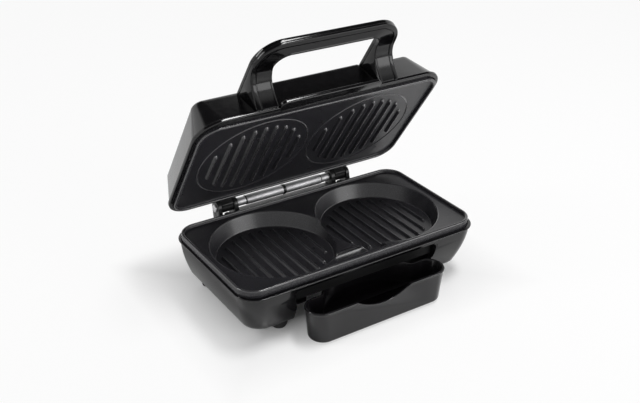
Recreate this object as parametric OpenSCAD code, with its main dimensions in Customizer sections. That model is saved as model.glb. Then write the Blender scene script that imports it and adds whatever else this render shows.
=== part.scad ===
// Twin-well contact grill for hamburgers, lid standing open, drip tray partly drawn out.
// Millimetres. X is the width, the front faces -Y, and Z is up from the table.
// Inside the modules z = 0 is the flat field of the lower grill plate.

/* [Grill plates] */
// radius of a well at the field
well_r = 58; // [57:0.25:58]
// depth of a well
well_depth = 14.3; // [12:0.1:14.3]
// distance of each well centre from the middle
well_x = 56; // [55:0.25:57]
// flat rim of the plates outside the wells
plate_rim_w = 9; // [8:0.25:9.5]
// flat rim of the plates in front of the wells and behind them
plate_rim_d = 7; // [6.5:0.25:7.5]
// distance between neighbouring ribs
rib_pitch = 10.4; // [10:0.1:10.8]
// height of the ribs in the wells
rib_h = 2; // [1:0.1:2.2]

/* [Base] */
// how far the base's flange stands out beyond the plates at each end
base_rim_w = 1.75; // [1.25:0.25:3]
// the same in front and at the back
base_rim_d = 4.25; // [3.75:0.25:5]
// height of the housing wall below its flange
base_h = 38.4; // [37:0.1:40]
// free height under the housing
foot_h = 12.7; // [12:0.1:14]

/* [Lid] */
// how far the lid's rim stands out beyond the plates at each end
lid_rim_w = 4; // [3.5:0.25:6]
// the same in front and at the back
lid_rim_d = 6; // [5.5:0.25:7]
// height of the lid's top face above the field
lid_top = 40.8; // [38:0.1:44]
// angle at which the lid stands open
open_angle = 56; // [40:1:70]

/* [Handle] */
// outside width of the handle
handle_w = 145; // [140:1:150]
// how far the handle's front lies ahead of the well centres
handle_reach = 120; // [116:0.5:124]

/* [Drip tray] */
// length of the tray's trough
tray_w = 143.4; // [138:0.2:144]
// how far the tray is drawn out of its bay
tray_out = 22; // [18:0.5:24]

/* [Hidden] */
$fn = 40;

// colours as the photo shows them
col_gloss = [0.31, 0.31, 0.33];
col_black = [0.07, 0.07, 0.08];
col_plate = [0.15, 0.15, 0.17];
col_steel = [0.75, 0.75, 0.76];
col_tray = [0.33, 0.33, 0.35];
col_rubber = [0.10, 0.10, 0.10];
col_ceramic = [0.85, 0.83, 0.78];
col_lamp = [0.75, 0.10, 0.06];

// a hair of overlap for cuts, a working gap, and sides of small round pieces
eps = 0.01;
cut = 1;
seat = 0.3;
touch = 0.05;
fn_small = 16;
fn_hull = 32;

// outside sizes that follow the wells
plate_w = 2 * (well_x + well_r + plate_rim_w);
plate_d = 2 * (well_r + plate_rim_d);
plate_half_w = plate_w / 2;
plate_half_d = plate_d / 2;
base_w = plate_w + 2 * base_rim_w;
base_d = plate_d + 2 * base_rim_d;
lid_w = plate_w + 2 * lid_rim_w;
lid_d = plate_d + 2 * lid_rim_d;

// grill plates
lip_h = 2.85;
lip_t = 2.8;
plate_r = 18;
plate_t = 2.6;
skirt_low = -5.8;
well_draft = 5;
well_wall = 2.4;
floor_z = -well_depth;
well_under = floor_z - plate_t;
rib_w = 4.2;
rib_crest = 1.3;
rib_count = 9;
rib_circle = well_r - 11;
upper_field = 2 * lip_h;
upper_rib_h = 2.4;
upper_rib_circle = well_r - 12.5;
upper_ring_r = well_r - 4.5;
upper_ring_w = 1;
upper_ring_h = 0.5;
upper_skirt_top = 12;
plate_boss_x = plate_half_w - 13;
plate_boss_y = plate_half_d - 15;
plate_boss_r = 3.6;
stud_r = 4;
stud_bore_r = 1.55;

// drain between the wells
island_z = -7.6;
island_back = -2;
island_flat = -6;
pocket_front = 9 - plate_half_d;
slope_foot = pocket_front + 16;
island_front = slope_foot + 4;
pocket_half = 26;
drain_y = pocket_front + 6;
drain_r = 4;
spout_r = 6;
spout_low = -21.4;

// base housing
flange_z = -3.4;
flange_t = 1.4;
flange_r = 20;
flange_step = 1.7;
base_wall = 2.4;
base_low = flange_z - base_h;
taper_side = 11.5;
taper_front = 11;
taper_power = 1.7;
taper_corner = 2.4;
level_a = 0.45;
level_b = 0.75;
ledge_z = skirt_low;
ledge_low = -8;
ledge_half_w = plate_half_w - 5;
ledge_half_d = plate_half_d - 3.5;
ledge_front = plate_half_d - 6.1;
ledge_cut_x = plate_half_w - 31;
ledge_cut_y = 30;
plate_gap = 0.5;
cover_t = 2.2;
post_x_back = plate_half_w - 27;
post_y_back = plate_half_d - 11;
post_x_front = plate_half_w - 19;
post_y_front = plate_half_d - 19;
post_r = 4;
post_top = -20;
web_t = 2.4;

// tray and the bay it slides in
bay_front = -base_d / 2 - touch;
tray_front = bay_front - tray_out;
tray_reach = 53.3;
trough_d = 26.6;
trough_r = trough_d / 2;
tray_rim = -22;
tray_low = -53.5;
tray_taper_side = 3.4;
tray_taper_front = 1;
tray_wall = 1.9;
lobe_r = 58;
lobe_back = tray_front + tray_reach;
lobe_floor = -43;
dip_x = -1;
dip_half = 28.5;
dip_depth = 9.5;
dip_r = (dip_half * dip_half + dip_depth * dip_depth) / (2 * dip_depth);
nub_x = 54;
nub_r = 2.5;
bay_gap = 1;
bay_wall = 1.6;
bay_roof = tray_rim + seat;
bay_roof_t = 1.8;
notch_half = 79;
notch_back = bay_front + 8.9;
notch_front = bay_front - 6.7;
notch_face = bay_front + 3.3;
notch_round = 5;
notch_corner = 6;

// feet
floor_level = base_low - foot_h;
front_foot_x = plate_half_w - 44;
front_foot_y = 21 - plate_half_d;
front_foot_r = 8;
rear_foot_x = plate_half_w - 19;
rear_foot_y = plate_half_d - 19;
rear_foot_r = 4.5;
rear_tip_r = 2.9;

// hinge
hinge_y = plate_half_d + 13;
hinge_z = 3.5;
pin_r = 2.5;
run_gap = 0.05;
knuckle_r = 6;
ear_r = 6.8;
sleeve_r = 4.7;
sleeve_in = 1.5;
sleeve_out = 42.5;
collar_out = 52.4;
collar_r = 4.1;
end_gap = 0.1;
middle_proud = 0.3;
ear_in = 53;
ear_out = 57.5;
arm_in = 58;
arm_out = 70;
outer_ear_in = 70.5;
outer_ear_out = 74.5;
pin_half = 76;
wall_back = base_d / 2 - flange_step;
boss_x = 64;
boss_y = hinge_y - 5.2;
boss_r = 3.4;
boss_top = -2.6;

// lid
lid_low = upper_field;
lid_band_top = 8.7;
lid_half_w = lid_w / 2 - 1;
lid_half_d = lid_d / 2 - 1.4;
lid_r = 24;
lid_in_side = 14;
lid_in_front = 15.7;
lid_in_back = 4.6;
lid_r_top = 8;
lid_wall = 2.5;
lid_soft = 2.2;
lid_ledge_t = 2.2;
panel_push = 4;
thumb_out = 7;
thumb_low = 5;
thumb_r = 5.5;
lamp_x = 14;
lamp_y = 10;
lamp_r = 4;
lamp_l = 7;

// handle
leg_w = 20.2;
panel_half = handle_w / 2 - leg_w;
thumb_half = panel_half - 0.8;
arch_l = 49;
arch_low = 7;
arch_grow = (handle_reach - lid_d / 2) / arch_l;
chin_z = 34;
chin = 1;
chin_h = 1.1;
brow = 2;
hole_l = 24 * arch_grow;
// underside of the legs and the bar: way out from the lid's rim, height above the field
arch = [[1, arch_low], [5.1, 17.1], [10.3, 25.5], [15.2, 29.1], [20.6, 31], [25.8, 31.4],
        [34, 30.6], [37, 29.6]];
corner_out = 25;
corner_in = 14;
bar_t = 12;
handle_top = 39.6;
handle_seam = 35.4;
handle_back = plate_rim_d + 8 - plate_half_d;

// heating elements
tube_r = 3.2;
lower_ring_r = 26;
upper_ring_loop = 27;
lower_tube_z = well_under - tube_r - touch;
upper_tube_z = upper_field + plate_t + tube_r + touch;
bridge_dx = 10;
bridge_r = 3;
end_r = 2.9;
terminal_r = 1.2;
reflector_t = 0.8;
lower_reflector_z = -25.6;
upper_reflector_z = 17;

// screws, their through holes and the heights of the rows
screw_r = 1.5;
head_r = 3;
head_h = 2;
hole_gap = 0.2;
snug_gap = 0.1;
bracket_screw_z = [-21.5, -14.5];
arm_screw_z = [17.6, 25];
handle_screw_z = [18, 27];
head_off = 1.2;
handle_head_off = 1.8;
cover_screw_l = 12;
reflector_screw_l = 6;
upper_reflector_screw_l = 7;
bracket_screw_l = 8;
arm_screw_l = 7;
handle_screw_l = 9;

// cord bushing in the back wall, its collar and its tapered sleeve
gland_x = 39 - plate_half_w;
gland_z = -28;
gland_r = 5.2;
gland_bore = 3.4;
gland_lead = 4;
grip_start = 0.5;
gland_inside = 2;
collar_rim = 2.4;
collar_t = 3.4;
sleeve_l = 4;
sleeve_draft = 0.6;

// hinge brackets on the base: plate, shelf and boss
bracket_low = -26;
bracket_h = 18;
bracket_t = 3.2;
shelf_t = 2.4;
shelf_out = 7;
bridge_z = -2.9;
bridge_t = 2;
bridge_out = 1.4;
arm_top = 29;

// thermostat, thermal fuse and mains terminals
stat_flange = [9, 3];
stat_body = [7, 6];
stat_tab = [3, 0.8, 5];
stat_tab_x = 4;
lower_stat_y = plate_half_d - 17;
fuse_at = [22, plate_half_d - 9];
fuse_r = 2;
fuse_l = 11;
fuse_wire_r = 0.6;
fuse_wire_l = 18;
fuse_clip = [3, 6.4, 2.3];
block_y = plate_half_d - 10;
block_size = [36, 14, 12];
block_pitch = 11;
block_wire_r = 2;
block_wire_z = 3;
block_screw_r = 2.4;
block_screw_z = 8;

// cold ends of the heating elements and the heat reflectors
end_l = 18;
terminal_l = 28;
disc_r = 33;
disc_y = 4;
disc_back = 37;
upper_reflector_w = plate_w - 50;
upper_reflector_d = plate_d - 40;
upper_reflector_r = 8;
upper_reflector_h = 6;
stat_hole_r = 11;

// air slots in the bottom cover
slot_pitch = 12;
slot_w = 3;
slot_l = 22;
slot_y = 18;
slot_end = plate_half_w - 33;

// the frame of the part stands on the table, centred on the box of the resting part
lid_back_y = max(swing_y(lid_half_d - lid_in_back - lid_soft * 0.8, lid_top),
                 swing_y(lid_half_d - lid_in_back * soft_t(), lid_top - lid_soft));
y_mid = (tray_front + lid_back_y) / 2;

function soft_t() = (lid_top - lid_soft - lid_band_top) / (lid_top - lid_band_top);
function swing_y(y, z) = hinge_y + (y - hinge_y) * cos(open_angle) + (z - hinge_z) * sin(open_angle);

module on_table() {
  translate([0, -y_mid, -floor_level]) children();
}

// turns the closed lid open about the hinge
module open_lid() {
  on_table()
    translate([0, hinge_y, hinge_z])
      rotate([-open_angle, 0, 0])
        translate([0, -hinge_y, -hinge_z])
          children();
}

module rounded(w, d, r) {
  square([w - 2 * r, d], center = true);
  square([w, d - 2 * r], center = true);
  for (x = [-1, 1], y = [-1, 1])
    translate([x * (w / 2 - r), y * (d / 2 - r)])
      circle(r);
}

module rounded_block(w, d, r, low, high) {
  translate([0, 0, low])
    linear_extrude(high - low)
      rounded(w, d, r);
}

// a bar of a side profile, drawn as (y, z) pairs, from x = -half to half
module side_bar(points, half) {
  translate([-half, 0, 0])
    rotate([90, 0, 90])
      linear_extrude(2 * half)
        polygon(points);
}

// a screw along Z with its head below z = 0
module screw(length) {
  cylinder(r = screw_r, h = length, $fn = fn_small);
  translate([0, 0, -head_h])
    cylinder(r = head_r, h = head_h, $fn = fn_small);
}

// one rib along Y: a low roof shape with sloped ends, standing on z = 0
module rib(length, h) {
  intersection() {
    translate([0, length / 2, 0])
      rotate([90, 0, 0])
        linear_extrude(length)
          polygon([[-rib_w / 2, -eps * 20], [rib_w / 2, -eps * 20], [rib_crest / 2, h], [-rib_crest / 2, h]]);
    side_bar([[-length / 2, -eps * 20], [length / 2, -eps * 20],
              [length / 2 - h * 0.8, h], [h * 0.8 - length / 2, h]], rib_w);
  }
}

module ribs(circle_r, h) {
  for (side = [-1, 1], i = [0 : rib_count - 1]) {
    dx = (i - (rib_count - 1) / 2) * rib_pitch;
    translate([side * well_x + dx, 0, 0])
      rib(2 * sqrt(circle_r * circle_r - dx * dx), h);
  }
}

// Lower grill plate

module well_cone(grow, low, high) {
  slope = well_draft / well_depth;
  translate([0, 0, low])
    cylinder(r1 = well_r - well_draft + (low - floor_z) * slope + grow,
             r2 = well_r - well_draft + (high - floor_z) * slope + grow,
             h = high - low, $fn = 96);
}

module lower_grill_plate() {
  color(col_plate)
    on_table()
      union() {
        difference() {
          union() {
            difference() {
              rounded_block(plate_w, plate_d, plate_r, skirt_low, lip_h);
              rounded_block(plate_w - 2 * lip_t, plate_d - 2 * lip_t, plate_r - lip_t,
                            skirt_low - cut, -plate_t);
            }
            for (side = [-1, 1])
              translate([side * well_x, 0, 0])
                well_cone(well_wall, well_under, -plate_t + eps);
            pocket_outside();
            plate_bosses(skirt_low, -plate_t + eps);
            for (side = [-1, 1])
              translate([side * well_x, 0, lower_reflector_z + reflector_t])
                cylinder(r = stud_r, h = well_under - lower_reflector_z, $fn = fn_small);
          }
          rounded_block(plate_w - 2 * lip_t, plate_d - 2 * lip_t, plate_r - lip_t, 0, lip_h + cut);
          for (side = [-1, 1])
            translate([side * well_x, 0, 0])
              well_cone(0, floor_z, eps);
          side_bar([[island_back, cut], [island_back, -5.5], [island_flat, island_z],
                    [island_front, island_z], [slope_foot, floor_z], [pocket_front, floor_z],
                    [pocket_front, cut]], pocket_half);
          translate([0, drain_y, spout_low - cut])
            cylinder(r = drain_r, h = cut + floor_z - spout_low + cut, $fn = 24);
          plate_boss_bores(skirt_low - cut, -plate_t - 0.4);
          for (side = [-1, 1])
            translate([side * well_x, 0, lower_reflector_z - cut])
              cylinder(r = stud_bore_r, h = 8, $fn = fn_small);
        }
        translate([0, 0, floor_z])
          ribs(rib_circle, rib_h);
      }
}

module pocket_outside() {
  translate([-pocket_half - well_wall, pocket_front - well_wall, well_under])
    cube([2 * (pocket_half + well_wall), -pocket_front + well_wall - 20, -well_under - plate_t + eps]);
  translate([0, drain_y, spout_low])
    cylinder(r = spout_r, h = floor_z - spout_low - cut, $fn = 24);
}

module at_plate_bosses() {
  for (x = [-plate_boss_x, plate_boss_x], y = [-plate_boss_y, plate_boss_y])
    translate([x, y, 0])
      children();
}

module plate_bosses(low, high) {
  at_plate_bosses()
    translate([0, 0, low])
      cylinder(r = plate_boss_r, h = high - low, $fn = fn_small);
}

module plate_boss_bores(low, high) {
  at_plate_bosses()
    translate([0, 0, low])
      cylinder(r = stud_bore_r, h = high - low, $fn = fn_small);
}

module lower_plate_screws() {
  color(col_steel)
    on_table()
      at_plate_bosses()
        translate([0, 0, ledge_low])
          screw(-plate_t - 1 - ledge_low);
}

module lower_reflector_screws() {
  color(col_steel)
    on_table()
      for (side = [-1, 1])
        translate([side * well_x, 0, lower_reflector_z])
          screw(reflector_screw_l);
}

// Base housing

// outline of the housing at fraction t of its height, drawn in by gap
module base_level(t, gap) {
  grow = pow(t, taper_power);
  side = flange_step + (taper_side - flange_step) * grow + gap;
  front = flange_step + (taper_front - flange_step) * grow + gap;
  back = flange_step + gap;
  translate([0, (front - back) / 2, flange_z - t * base_h])
    linear_extrude(eps)
      rounded(base_w - 2 * side, base_d - front - back, flange_r - flange_step - taper_corner * t - gap,
              $fn = fn_hull);
}

module base_body(gap) {
  hull() {
    base_level(0, gap);
    base_level(level_a, gap);
  }
  hull() {
    base_level(level_a, gap);
    base_level(level_b, gap);
  }
  hull() {
    base_level(level_b, gap);
    base_level(1, gap);
  }
}

// plan of the space for the tray, widened by grow
module bay_plan(grow) {
  bay_y = bay_front + trough_r;
  end_x = tray_w / 2 - trough_r;
  r = trough_r + bay_gap + grow;
  for (side = [-1, 1])
    translate([side * end_x, bay_y - 0.3])
      circle(r);
  translate([-end_x, bay_y - 0.3 - r])
    square([2 * end_x, 2 * r]);
  translate([-end_x - r, notch_front])
    square([2 * (end_x + r), bay_y - notch_front]);
  intersection() {
    translate([0, bay_front + tray_reach - lobe_r])
      circle(lobe_r + bay_gap + grow, $fn = 72);
    translate([-lobe_r, bay_y])
      square([2 * lobe_r, 2 * trough_d]);
  }
}

module bay_void() {
  translate([0, 0, floor_level - cut])
    linear_extrude(bay_roof - floor_level + cut)
      bay_plan(0);
  intersection() {
    translate([0, 0, bay_roof - cut])
      linear_extrude(ledge_low - bay_roof + 2 * cut)
        slot_plan();
    translate([0, notch_back, (ledge_low + bay_roof) / 2])
      rotate([90, 0, 0])
        linear_extrude(notch_back - notch_front)
          rounded(2 * notch_half, ledge_low - bay_roof, notch_corner);
  }
}

// plan of the finger slot over the tray, with a rounded mouth
module slot_plan() {
  inner = notch_half - notch_round;
  translate([-inner, notch_front])
    square([2 * inner, notch_back - notch_front]);
  difference() {
    translate([-notch_half, notch_front])
      square([2 * notch_half, notch_face + notch_round - notch_front]);
    for (side = [-1, 1])
      translate([side * notch_half, notch_face + notch_round])
        circle(notch_round);
  }
}

// walls and roof round the bay, and the posts for the cover's screws
module base_inner_ribs() {
  translate([0, 0, base_low + cover_t])
    linear_extrude(bay_roof + bay_roof_t - base_low - cover_t)
      bay_plan(bay_wall);
  translate([-notch_half - bay_wall, notch_front, bay_roof])
    cube([2 * (notch_half + bay_wall), notch_back + 1.5 - notch_front, ledge_low - bay_roof + cut]);
  at_cover_posts() {
    translate([0, 0, base_low + cover_t])
      cylinder(r = post_r, h = post_top - base_low - cover_t, $fn = 24);
    translate([0, -web_t / 2, base_low + cover_t])
      cube([base_w / 2 - post_x_back, web_t, post_top - base_low - cover_t]);
  }
}

module at_cover_posts() {
  for (side = [0, 1])
    mirror([side, 0, 0]) {
      translate([post_x_back, post_y_back, 0])
        children();
      translate([post_x_front, -post_y_front, 0])
        children();
    }
}

module base_shell() {
  color(col_gloss)
    on_table()
      difference() {
        union() {
          base_body(0);
          rounded_block(base_w, base_d, flange_r, flange_z - flange_t, flange_z);
        }
        difference() {
          intersection() {
            base_body(base_wall);
            translate([-base_w, -base_d, base_low - cut])
              cube([2 * base_w, 2 * base_d, ledge_low - base_low + cut]);
          }
          base_inner_ribs();
        }
        // room for the bottom cover
        translate([0, (taper_front - flange_step) / 2, base_low - cut])
          linear_extrude(cut + cover_t + eps)
            rounded(base_w - 2 * taper_side - 2 * base_wall,
                    base_d - taper_front - flange_step - 2 * base_wall,
                    flange_r - flange_step - taper_corner - base_wall);
        rounded_block(plate_w + 2 * plate_gap, plate_d + 2 * plate_gap, plate_r + plate_gap, ledge_z, cut);
        translate([0, 0, ledge_low - cut])
          linear_extrude(ledge_z - ledge_low + 2 * cut)
            ledge_hole();
        bay_void();
        translate([0, drain_y, bay_roof - cut])
          cylinder(r = spout_r + 0.6, h = bay_roof_t + 2 * cut, $fn = 24);
        at_plate_bosses()
          translate([0, 0, ledge_low - cut])
            cylinder(r = screw_r + hole_gap, h = 2 * cut + ledge_z - ledge_low, $fn = fn_small);
        at_cover_posts()
          translate([0, 0, base_low])
            cylinder(r = stud_bore_r, h = cover_screw_l, $fn = fn_small);
        at_bracket_screws()
          cylinder(r = screw_r + snug_gap, h = 20, center = true, $fn = fn_small);
        translate([gland_x, wall_back, gland_z])
          rotate([90, 0, 0])
            cylinder(r = gland_r, h = 20, center = true, $fn = 24);
      }
}

module ledge_hole() {
  polygon([[-ledge_half_w, -ledge_cut_y], [-ledge_cut_x, -ledge_front], [ledge_cut_x, -ledge_front],
           [ledge_half_w, -ledge_cut_y], [ledge_half_w, ledge_cut_y], [ledge_cut_x, ledge_half_d],
           [-ledge_cut_x, ledge_half_d], [-ledge_half_w, ledge_cut_y]]);
}

module base_bottom_cover() {
  gap = base_wall + seat;
  color(col_black)
    on_table()
      difference() {
        translate([0, (taper_front - flange_step) / 2, base_low])
          linear_extrude(cover_t - touch)
            difference() {
              rounded(base_w - 2 * taper_side - 2 * gap, base_d - taper_front - flange_step - 2 * gap,
                      flange_r - flange_step - taper_corner - gap);
              translate([0, -(taper_front - flange_step) / 2])
                bay_plan(seat);
            }
        at_cover_posts()
          translate([0, 0, base_low - cut])
            cylinder(r = screw_r + hole_gap, h = cover_t + 2 * cut, $fn = fn_small);
        for (x = [-slot_end : slot_pitch : slot_end])
          translate([x - slot_w / 2, slot_y, base_low - cut])
            cube([slot_w, slot_l, cover_t + 2 * cut]);
      }
}

module bottom_cover_screws() {
  color(col_steel)
    on_table()
      at_cover_posts()
        translate([0, 0, base_low])
          screw(cover_screw_l);
}

module front_feet() {
  color(col_rubber)
    on_table()
      for (side = [-1, 1])
        translate([side * front_foot_x, front_foot_y, base_low])
          rotate([180, 0, 0])
            rotate_extrude($fn = 32)
              polygon([[0, 0], [front_foot_r, 0], [front_foot_r, foot_h * 0.45],
                       [front_foot_r * 0.93, foot_h * 0.7], [front_foot_r * 0.78, foot_h * 0.88],
                       [front_foot_r * 0.5, foot_h], [0, foot_h]]);
}

module rear_feet() {
  color(col_black)
    on_table()
      for (side = [-1, 1])
        translate([side * rear_foot_x, rear_foot_y, base_low])
          rotate([180, 0, 0])
            rotate_extrude($fn = 24)
              polygon([[0, 0], [rear_foot_r, 0], [rear_tip_r, foot_h * 0.85],
                       [rear_tip_r * 0.6, foot_h], [0, foot_h]]);
}

// Parts inside the base

// a ring of tube round each well centre, a bridge at the back and two cold ends
module element(ring_r, z) {
  bridge_y = sqrt(ring_r * ring_r - bridge_dx * bridge_dx);
  translate([0, 0, z]) {
    for (side = [-1, 1])
      translate([side * well_x, 0, 0])
        rotate_extrude($fn = 36)
          translate([ring_r, 0])
            circle(tube_r, $fn = 14);
    translate([0, bridge_y, 0])
      rotate([0, 90, 0])
        cylinder(r = bridge_r, h = 2 * (well_x - bridge_dx), center = true, $fn = 14);
    for (side = [-1, 1])
      translate([side * well_x, ring_r, 0])
        rotate([-90, 0, 0]) {
          cylinder(r = end_r, h = end_l, $fn = 14);
          cylinder(r = terminal_r, h = terminal_l, $fn = 14);
        }
  }
}

module lower_heating_element() {
  color(col_steel)
    on_table()
      element(lower_ring_r, lower_tube_z);
}

module lower_heat_reflector() {
  color(col_steel)
    on_table()
      translate([0, 0, lower_reflector_z])
        difference() {
          union() {
            for (side = [-1, 1])
              translate([side * well_x, disc_y, 0])
                cylinder(r = disc_r, h = reflector_t, $fn = 48);
            translate([-well_x, 0, 0])
              cube([2 * well_x, disc_back, reflector_t]);
          }
          for (side = [-1, 1])
            translate([side * well_x, 0, -cut])
              cylinder(r = screw_r + hole_gap, h = reflector_t + 2 * cut, $fn = fn_small);
        }
}

module thermostat_body() {
  cylinder(r = stat_flange[0], h = stat_flange[1], $fn = 24);
  translate([0, 0, stat_flange[1]])
    cylinder(r = stat_body[0], h = stat_body[1], $fn = 24);
  for (side = [-1, 1])
    translate([side * stat_tab_x - stat_tab[0] / 2, -stat_tab[1] / 2, stat_flange[1] + stat_body[1]])
      cube(stat_tab);
}

module lower_thermostat() {
  color(col_ceramic)
    on_table()
      translate([0, lower_stat_y, -plate_t])
        rotate([180, 0, 0])
          thermostat_body();
}

module upper_thermostat() {
  color(col_ceramic)
    open_lid()
      translate([0, 0, upper_field + plate_t])
        thermostat_body();
}

module thermal_fuse() {
  color(col_steel)
    on_table()
      translate([fuse_at[0], fuse_at[1], -plate_t - fuse_r]) {
        rotate([0, 90, 0])
          cylinder(r = fuse_r, h = fuse_l, center = true, $fn = fn_small);
        rotate([0, 90, 0])
          cylinder(r = fuse_wire_r, h = fuse_wire_l, center = true, $fn = 14);
        translate([-fuse_clip[0] / 2, -fuse_clip[1] / 2, fuse_r - fuse_clip[2]])
          cube(fuse_clip);
      }
}

module terminal_block() {
  color(col_ceramic)
    on_table()
      translate([0, block_y, base_low + cover_t - touch])
        difference() {
          translate([-block_size[0] / 2, -block_size[1] / 2, 0])
            cube(block_size);
          for (i = [-1, 0, 1])
            translate([i * block_pitch, 0, block_wire_z])
              rotate([90, 0, 0])
                cylinder(r = block_wire_r, h = block_size[1] + 2 * cut, center = true, $fn = 14);
          for (i = [-1, 0, 1])
            translate([i * block_pitch, 0, block_screw_z])
              cylinder(r = block_screw_r, h = block_size[2], $fn = 14);
        }
}

module cord_gland() {
  color(col_black)
    on_table()
      translate([gland_x, wall_back, gland_z])
        rotate([-90, 0, 0])
          difference() {
            union() {
              cylinder(r = gland_r + collar_rim, h = collar_t, $fn = 32);
              translate([0, 0, -base_wall - gland_inside])
                cylinder(r = gland_r - run_gap, h = base_wall + gland_inside + eps, $fn = 32);
              translate([0, 0, collar_t - eps])
                cylinder(r1 = gland_r + sleeve_draft, r2 = gland_r - sleeve_draft, h = sleeve_l, $fn = 32);
            }
            cylinder(r = gland_bore, h = 20, $fn = 24);
            translate([0, 0, -base_wall - gland_inside - cut])
              cylinder(r = gland_lead, h = base_wall + gland_inside + cut + grip_start, $fn = 24);
          }
}

// Hinge

// ear standing off the housing's back wall, from x0 to x1
module ear(x0, x1) {
  translate([x0, 0, 0])
    rotate([90, 0, 90])
      linear_extrude(x1 - x0)
        difference() {
          union() {
            translate([hinge_y, hinge_z])
              circle(ear_r, $fn = 32);
            polygon([[wall_back + eps, bracket_low], [wall_back + 5, bracket_low],
                     [hinge_y + 5, bracket_low + bracket_h], [hinge_y + ear_r - 0.2, hinge_z],
                     [hinge_y - ear_r + 0.2, hinge_z], [base_d / 2 + seat, flange_z + 2],
                     [base_d / 2 + seat, flange_z - flange_t - seat],
                     [wall_back + eps, flange_z - flange_t - seat]]);
          }
          translate([hinge_y, hinge_z])
            circle(pin_r, $fn = 24);
        }
}

module at_bracket_screws() {
  for (x = [-boss_x, boss_x], z = bracket_screw_z)
    translate([x, wall_back, z])
      rotate([90, 0, 0])
        children();
}

module base_hinge_brackets() {
  color(col_black)
    on_table()
      difference() {
        union() {
          for (side = [0, 1])
            mirror([side, 0, 0]) {
              ear(ear_in, ear_out);
              ear(outer_ear_in, outer_ear_out);
              translate([ear_in, wall_back + eps, bracket_low])
                cube([outer_ear_out - ear_in, bracket_t, bracket_h]);
              translate([ear_in, wall_back + eps, bracket_low + bracket_h - shelf_t])
                cube([outer_ear_out - ear_in, shelf_out, shelf_t]);
              translate([0, base_d / 2 + seat, bridge_z - bridge_t])
                cube([ear_in + eps, hinge_y + bridge_out - base_d / 2 - seat, bridge_t]);
              translate([boss_x, boss_y, bracket_low + bracket_h - 0.4])
                cylinder(r = boss_r, h = boss_top - bracket_low - bracket_h + 0.4, $fn = 24);
            }
        }
        at_bracket_screws()
          cylinder(r = screw_r + snug_gap, h = 30, center = true, $fn = fn_small);
      }
}

module bracket_screws() {
  color(col_steel)
    on_table()
      for (x = [-boss_x, boss_x], z = bracket_screw_z)
        translate([x, wall_back + bracket_t + eps, z])
          rotate([90, 0, 0])
            screw(bracket_screw_l);
}

module along_hinge(x0, x1, r) {
  translate([x0, hinge_y, hinge_z])
    rotate([0, 90, 0])
      cylinder(r = r, h = x1 - x0, $fn = 32);
}

module hinge_pin() {
  color(col_steel)
    on_table() {
      along_hinge(-pin_half, pin_half, pin_r);
      along_hinge(-pin_half, -outer_ear_out, pin_r + 1.3);
      along_hinge(outer_ear_out, pin_half, pin_r + 1.3);
    }
}

// tube round the pin, from x0 to x1
module sleeve(x0, x1, r) {
  difference() {
    along_hinge(x0, x1, r);
    along_hinge(x0 - cut, x1 + cut, pin_r);
  }
}

module hinge_sleeve_left() {
  color(col_steel)
    on_table()
      sleeve(-sleeve_out, -sleeve_in, sleeve_r);
}

module hinge_sleeve_right() {
  color(col_steel)
    on_table()
      sleeve(sleeve_in, sleeve_out, sleeve_r);
}

module hinge_collars() {
  color(col_steel)
    on_table() {
      sleeve(-sleeve_in + end_gap, sleeve_in - end_gap, sleeve_r + middle_proud);
      for (side = [0, 1])
        mirror([side, 0, 0])
          sleeve(sleeve_out + end_gap, collar_out, collar_r);
    }
}

// Drip tray

module trough_level(z, gap, in_side, in_front) {
  r = trough_r - gap - in_front / 2;
  half = tray_w / 2 - in_side - r - gap;
  translate([0, tray_front + trough_r + in_front / 2, z])
    linear_extrude(eps) {
      for (side = [-1, 1])
        translate([side * half, 0])
          circle(r, $fn = 40);
      translate([-half, -r])
        square([2 * half, 2 * r]);
    }
}

module trough(gap, low, high) {
  hull() {
    trough_level(high, gap, 0, 0);
    trough_level(low, gap, tray_taper_side, tray_taper_front);
  }
}

module lobe(gap, low, high) {
  translate([0, 0, low])
    linear_extrude(high - low)
      intersection() {
        translate([0, lobe_back - lobe_r])
          circle(lobe_r - gap, $fn = 72);
        translate([-lobe_r, tray_front + trough_d - 4])
          square([2 * lobe_r, 2 * trough_d]);
      }
}

module drip_tray() {
  color(col_tray)
    on_table()
      difference() {
        union() {
          trough(0, tray_low, tray_rim - eps);
          lobe(0, lobe_floor - tray_wall, tray_rim);
          for (x = [-nub_x, nub_x], y = [-7, 7])
            translate([x, tray_front + trough_r + y, floor_level])
              cylinder(r = nub_r, h = tray_low - floor_level + cut, $fn = fn_small);
        }
        trough(tray_wall, tray_low + tray_wall, tray_rim + cut);
        lobe(tray_wall, lobe_floor, tray_rim + cut);
        translate([dip_x, tray_front + 6, tray_rim - dip_depth + dip_r])
          rotate([90, 0, 0])
            cylinder(r = dip_r, h = 12, $fn = 96);
      }
}

// Lid

// outline of the lid at fraction t of its height, drawn in by gap
module lid_level(t, z, gap) {
  side = lid_in_side * t + gap;
  front = lid_in_front * t + gap;
  back = lid_in_back * t + gap;
  translate([0, (front - back) / 2, z])
    linear_extrude(eps)
      rounded(2 * (lid_half_w - side), 2 * lid_half_d - front - back,
              max(lid_r + (lid_r_top - lid_r) * t - gap * 0.6, 2), $fn = fn_hull);
}

module lid_body() {
  hull() {
    lid_level(0, lid_band_top, 0);
    lid_level(soft_t(), lid_top - lid_soft, 0);
  }
  hull() {
    lid_level(soft_t(), lid_top - lid_soft, 0);
    lid_level(1, lid_top - eps, lid_soft * 0.8);
  }
}

// lip for the thumb under the rim, between the handle's legs
module thumb_lip() {
  front = lid_d / 2 + thumb_out;
  back = plate_d / 2 + plate_gap;
  translate([0, -(front + back) / 2, thumb_low])
    linear_extrude(lid_band_top - thumb_low)
      rounded(2 * thumb_half, front - back, thumb_r);
}

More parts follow.
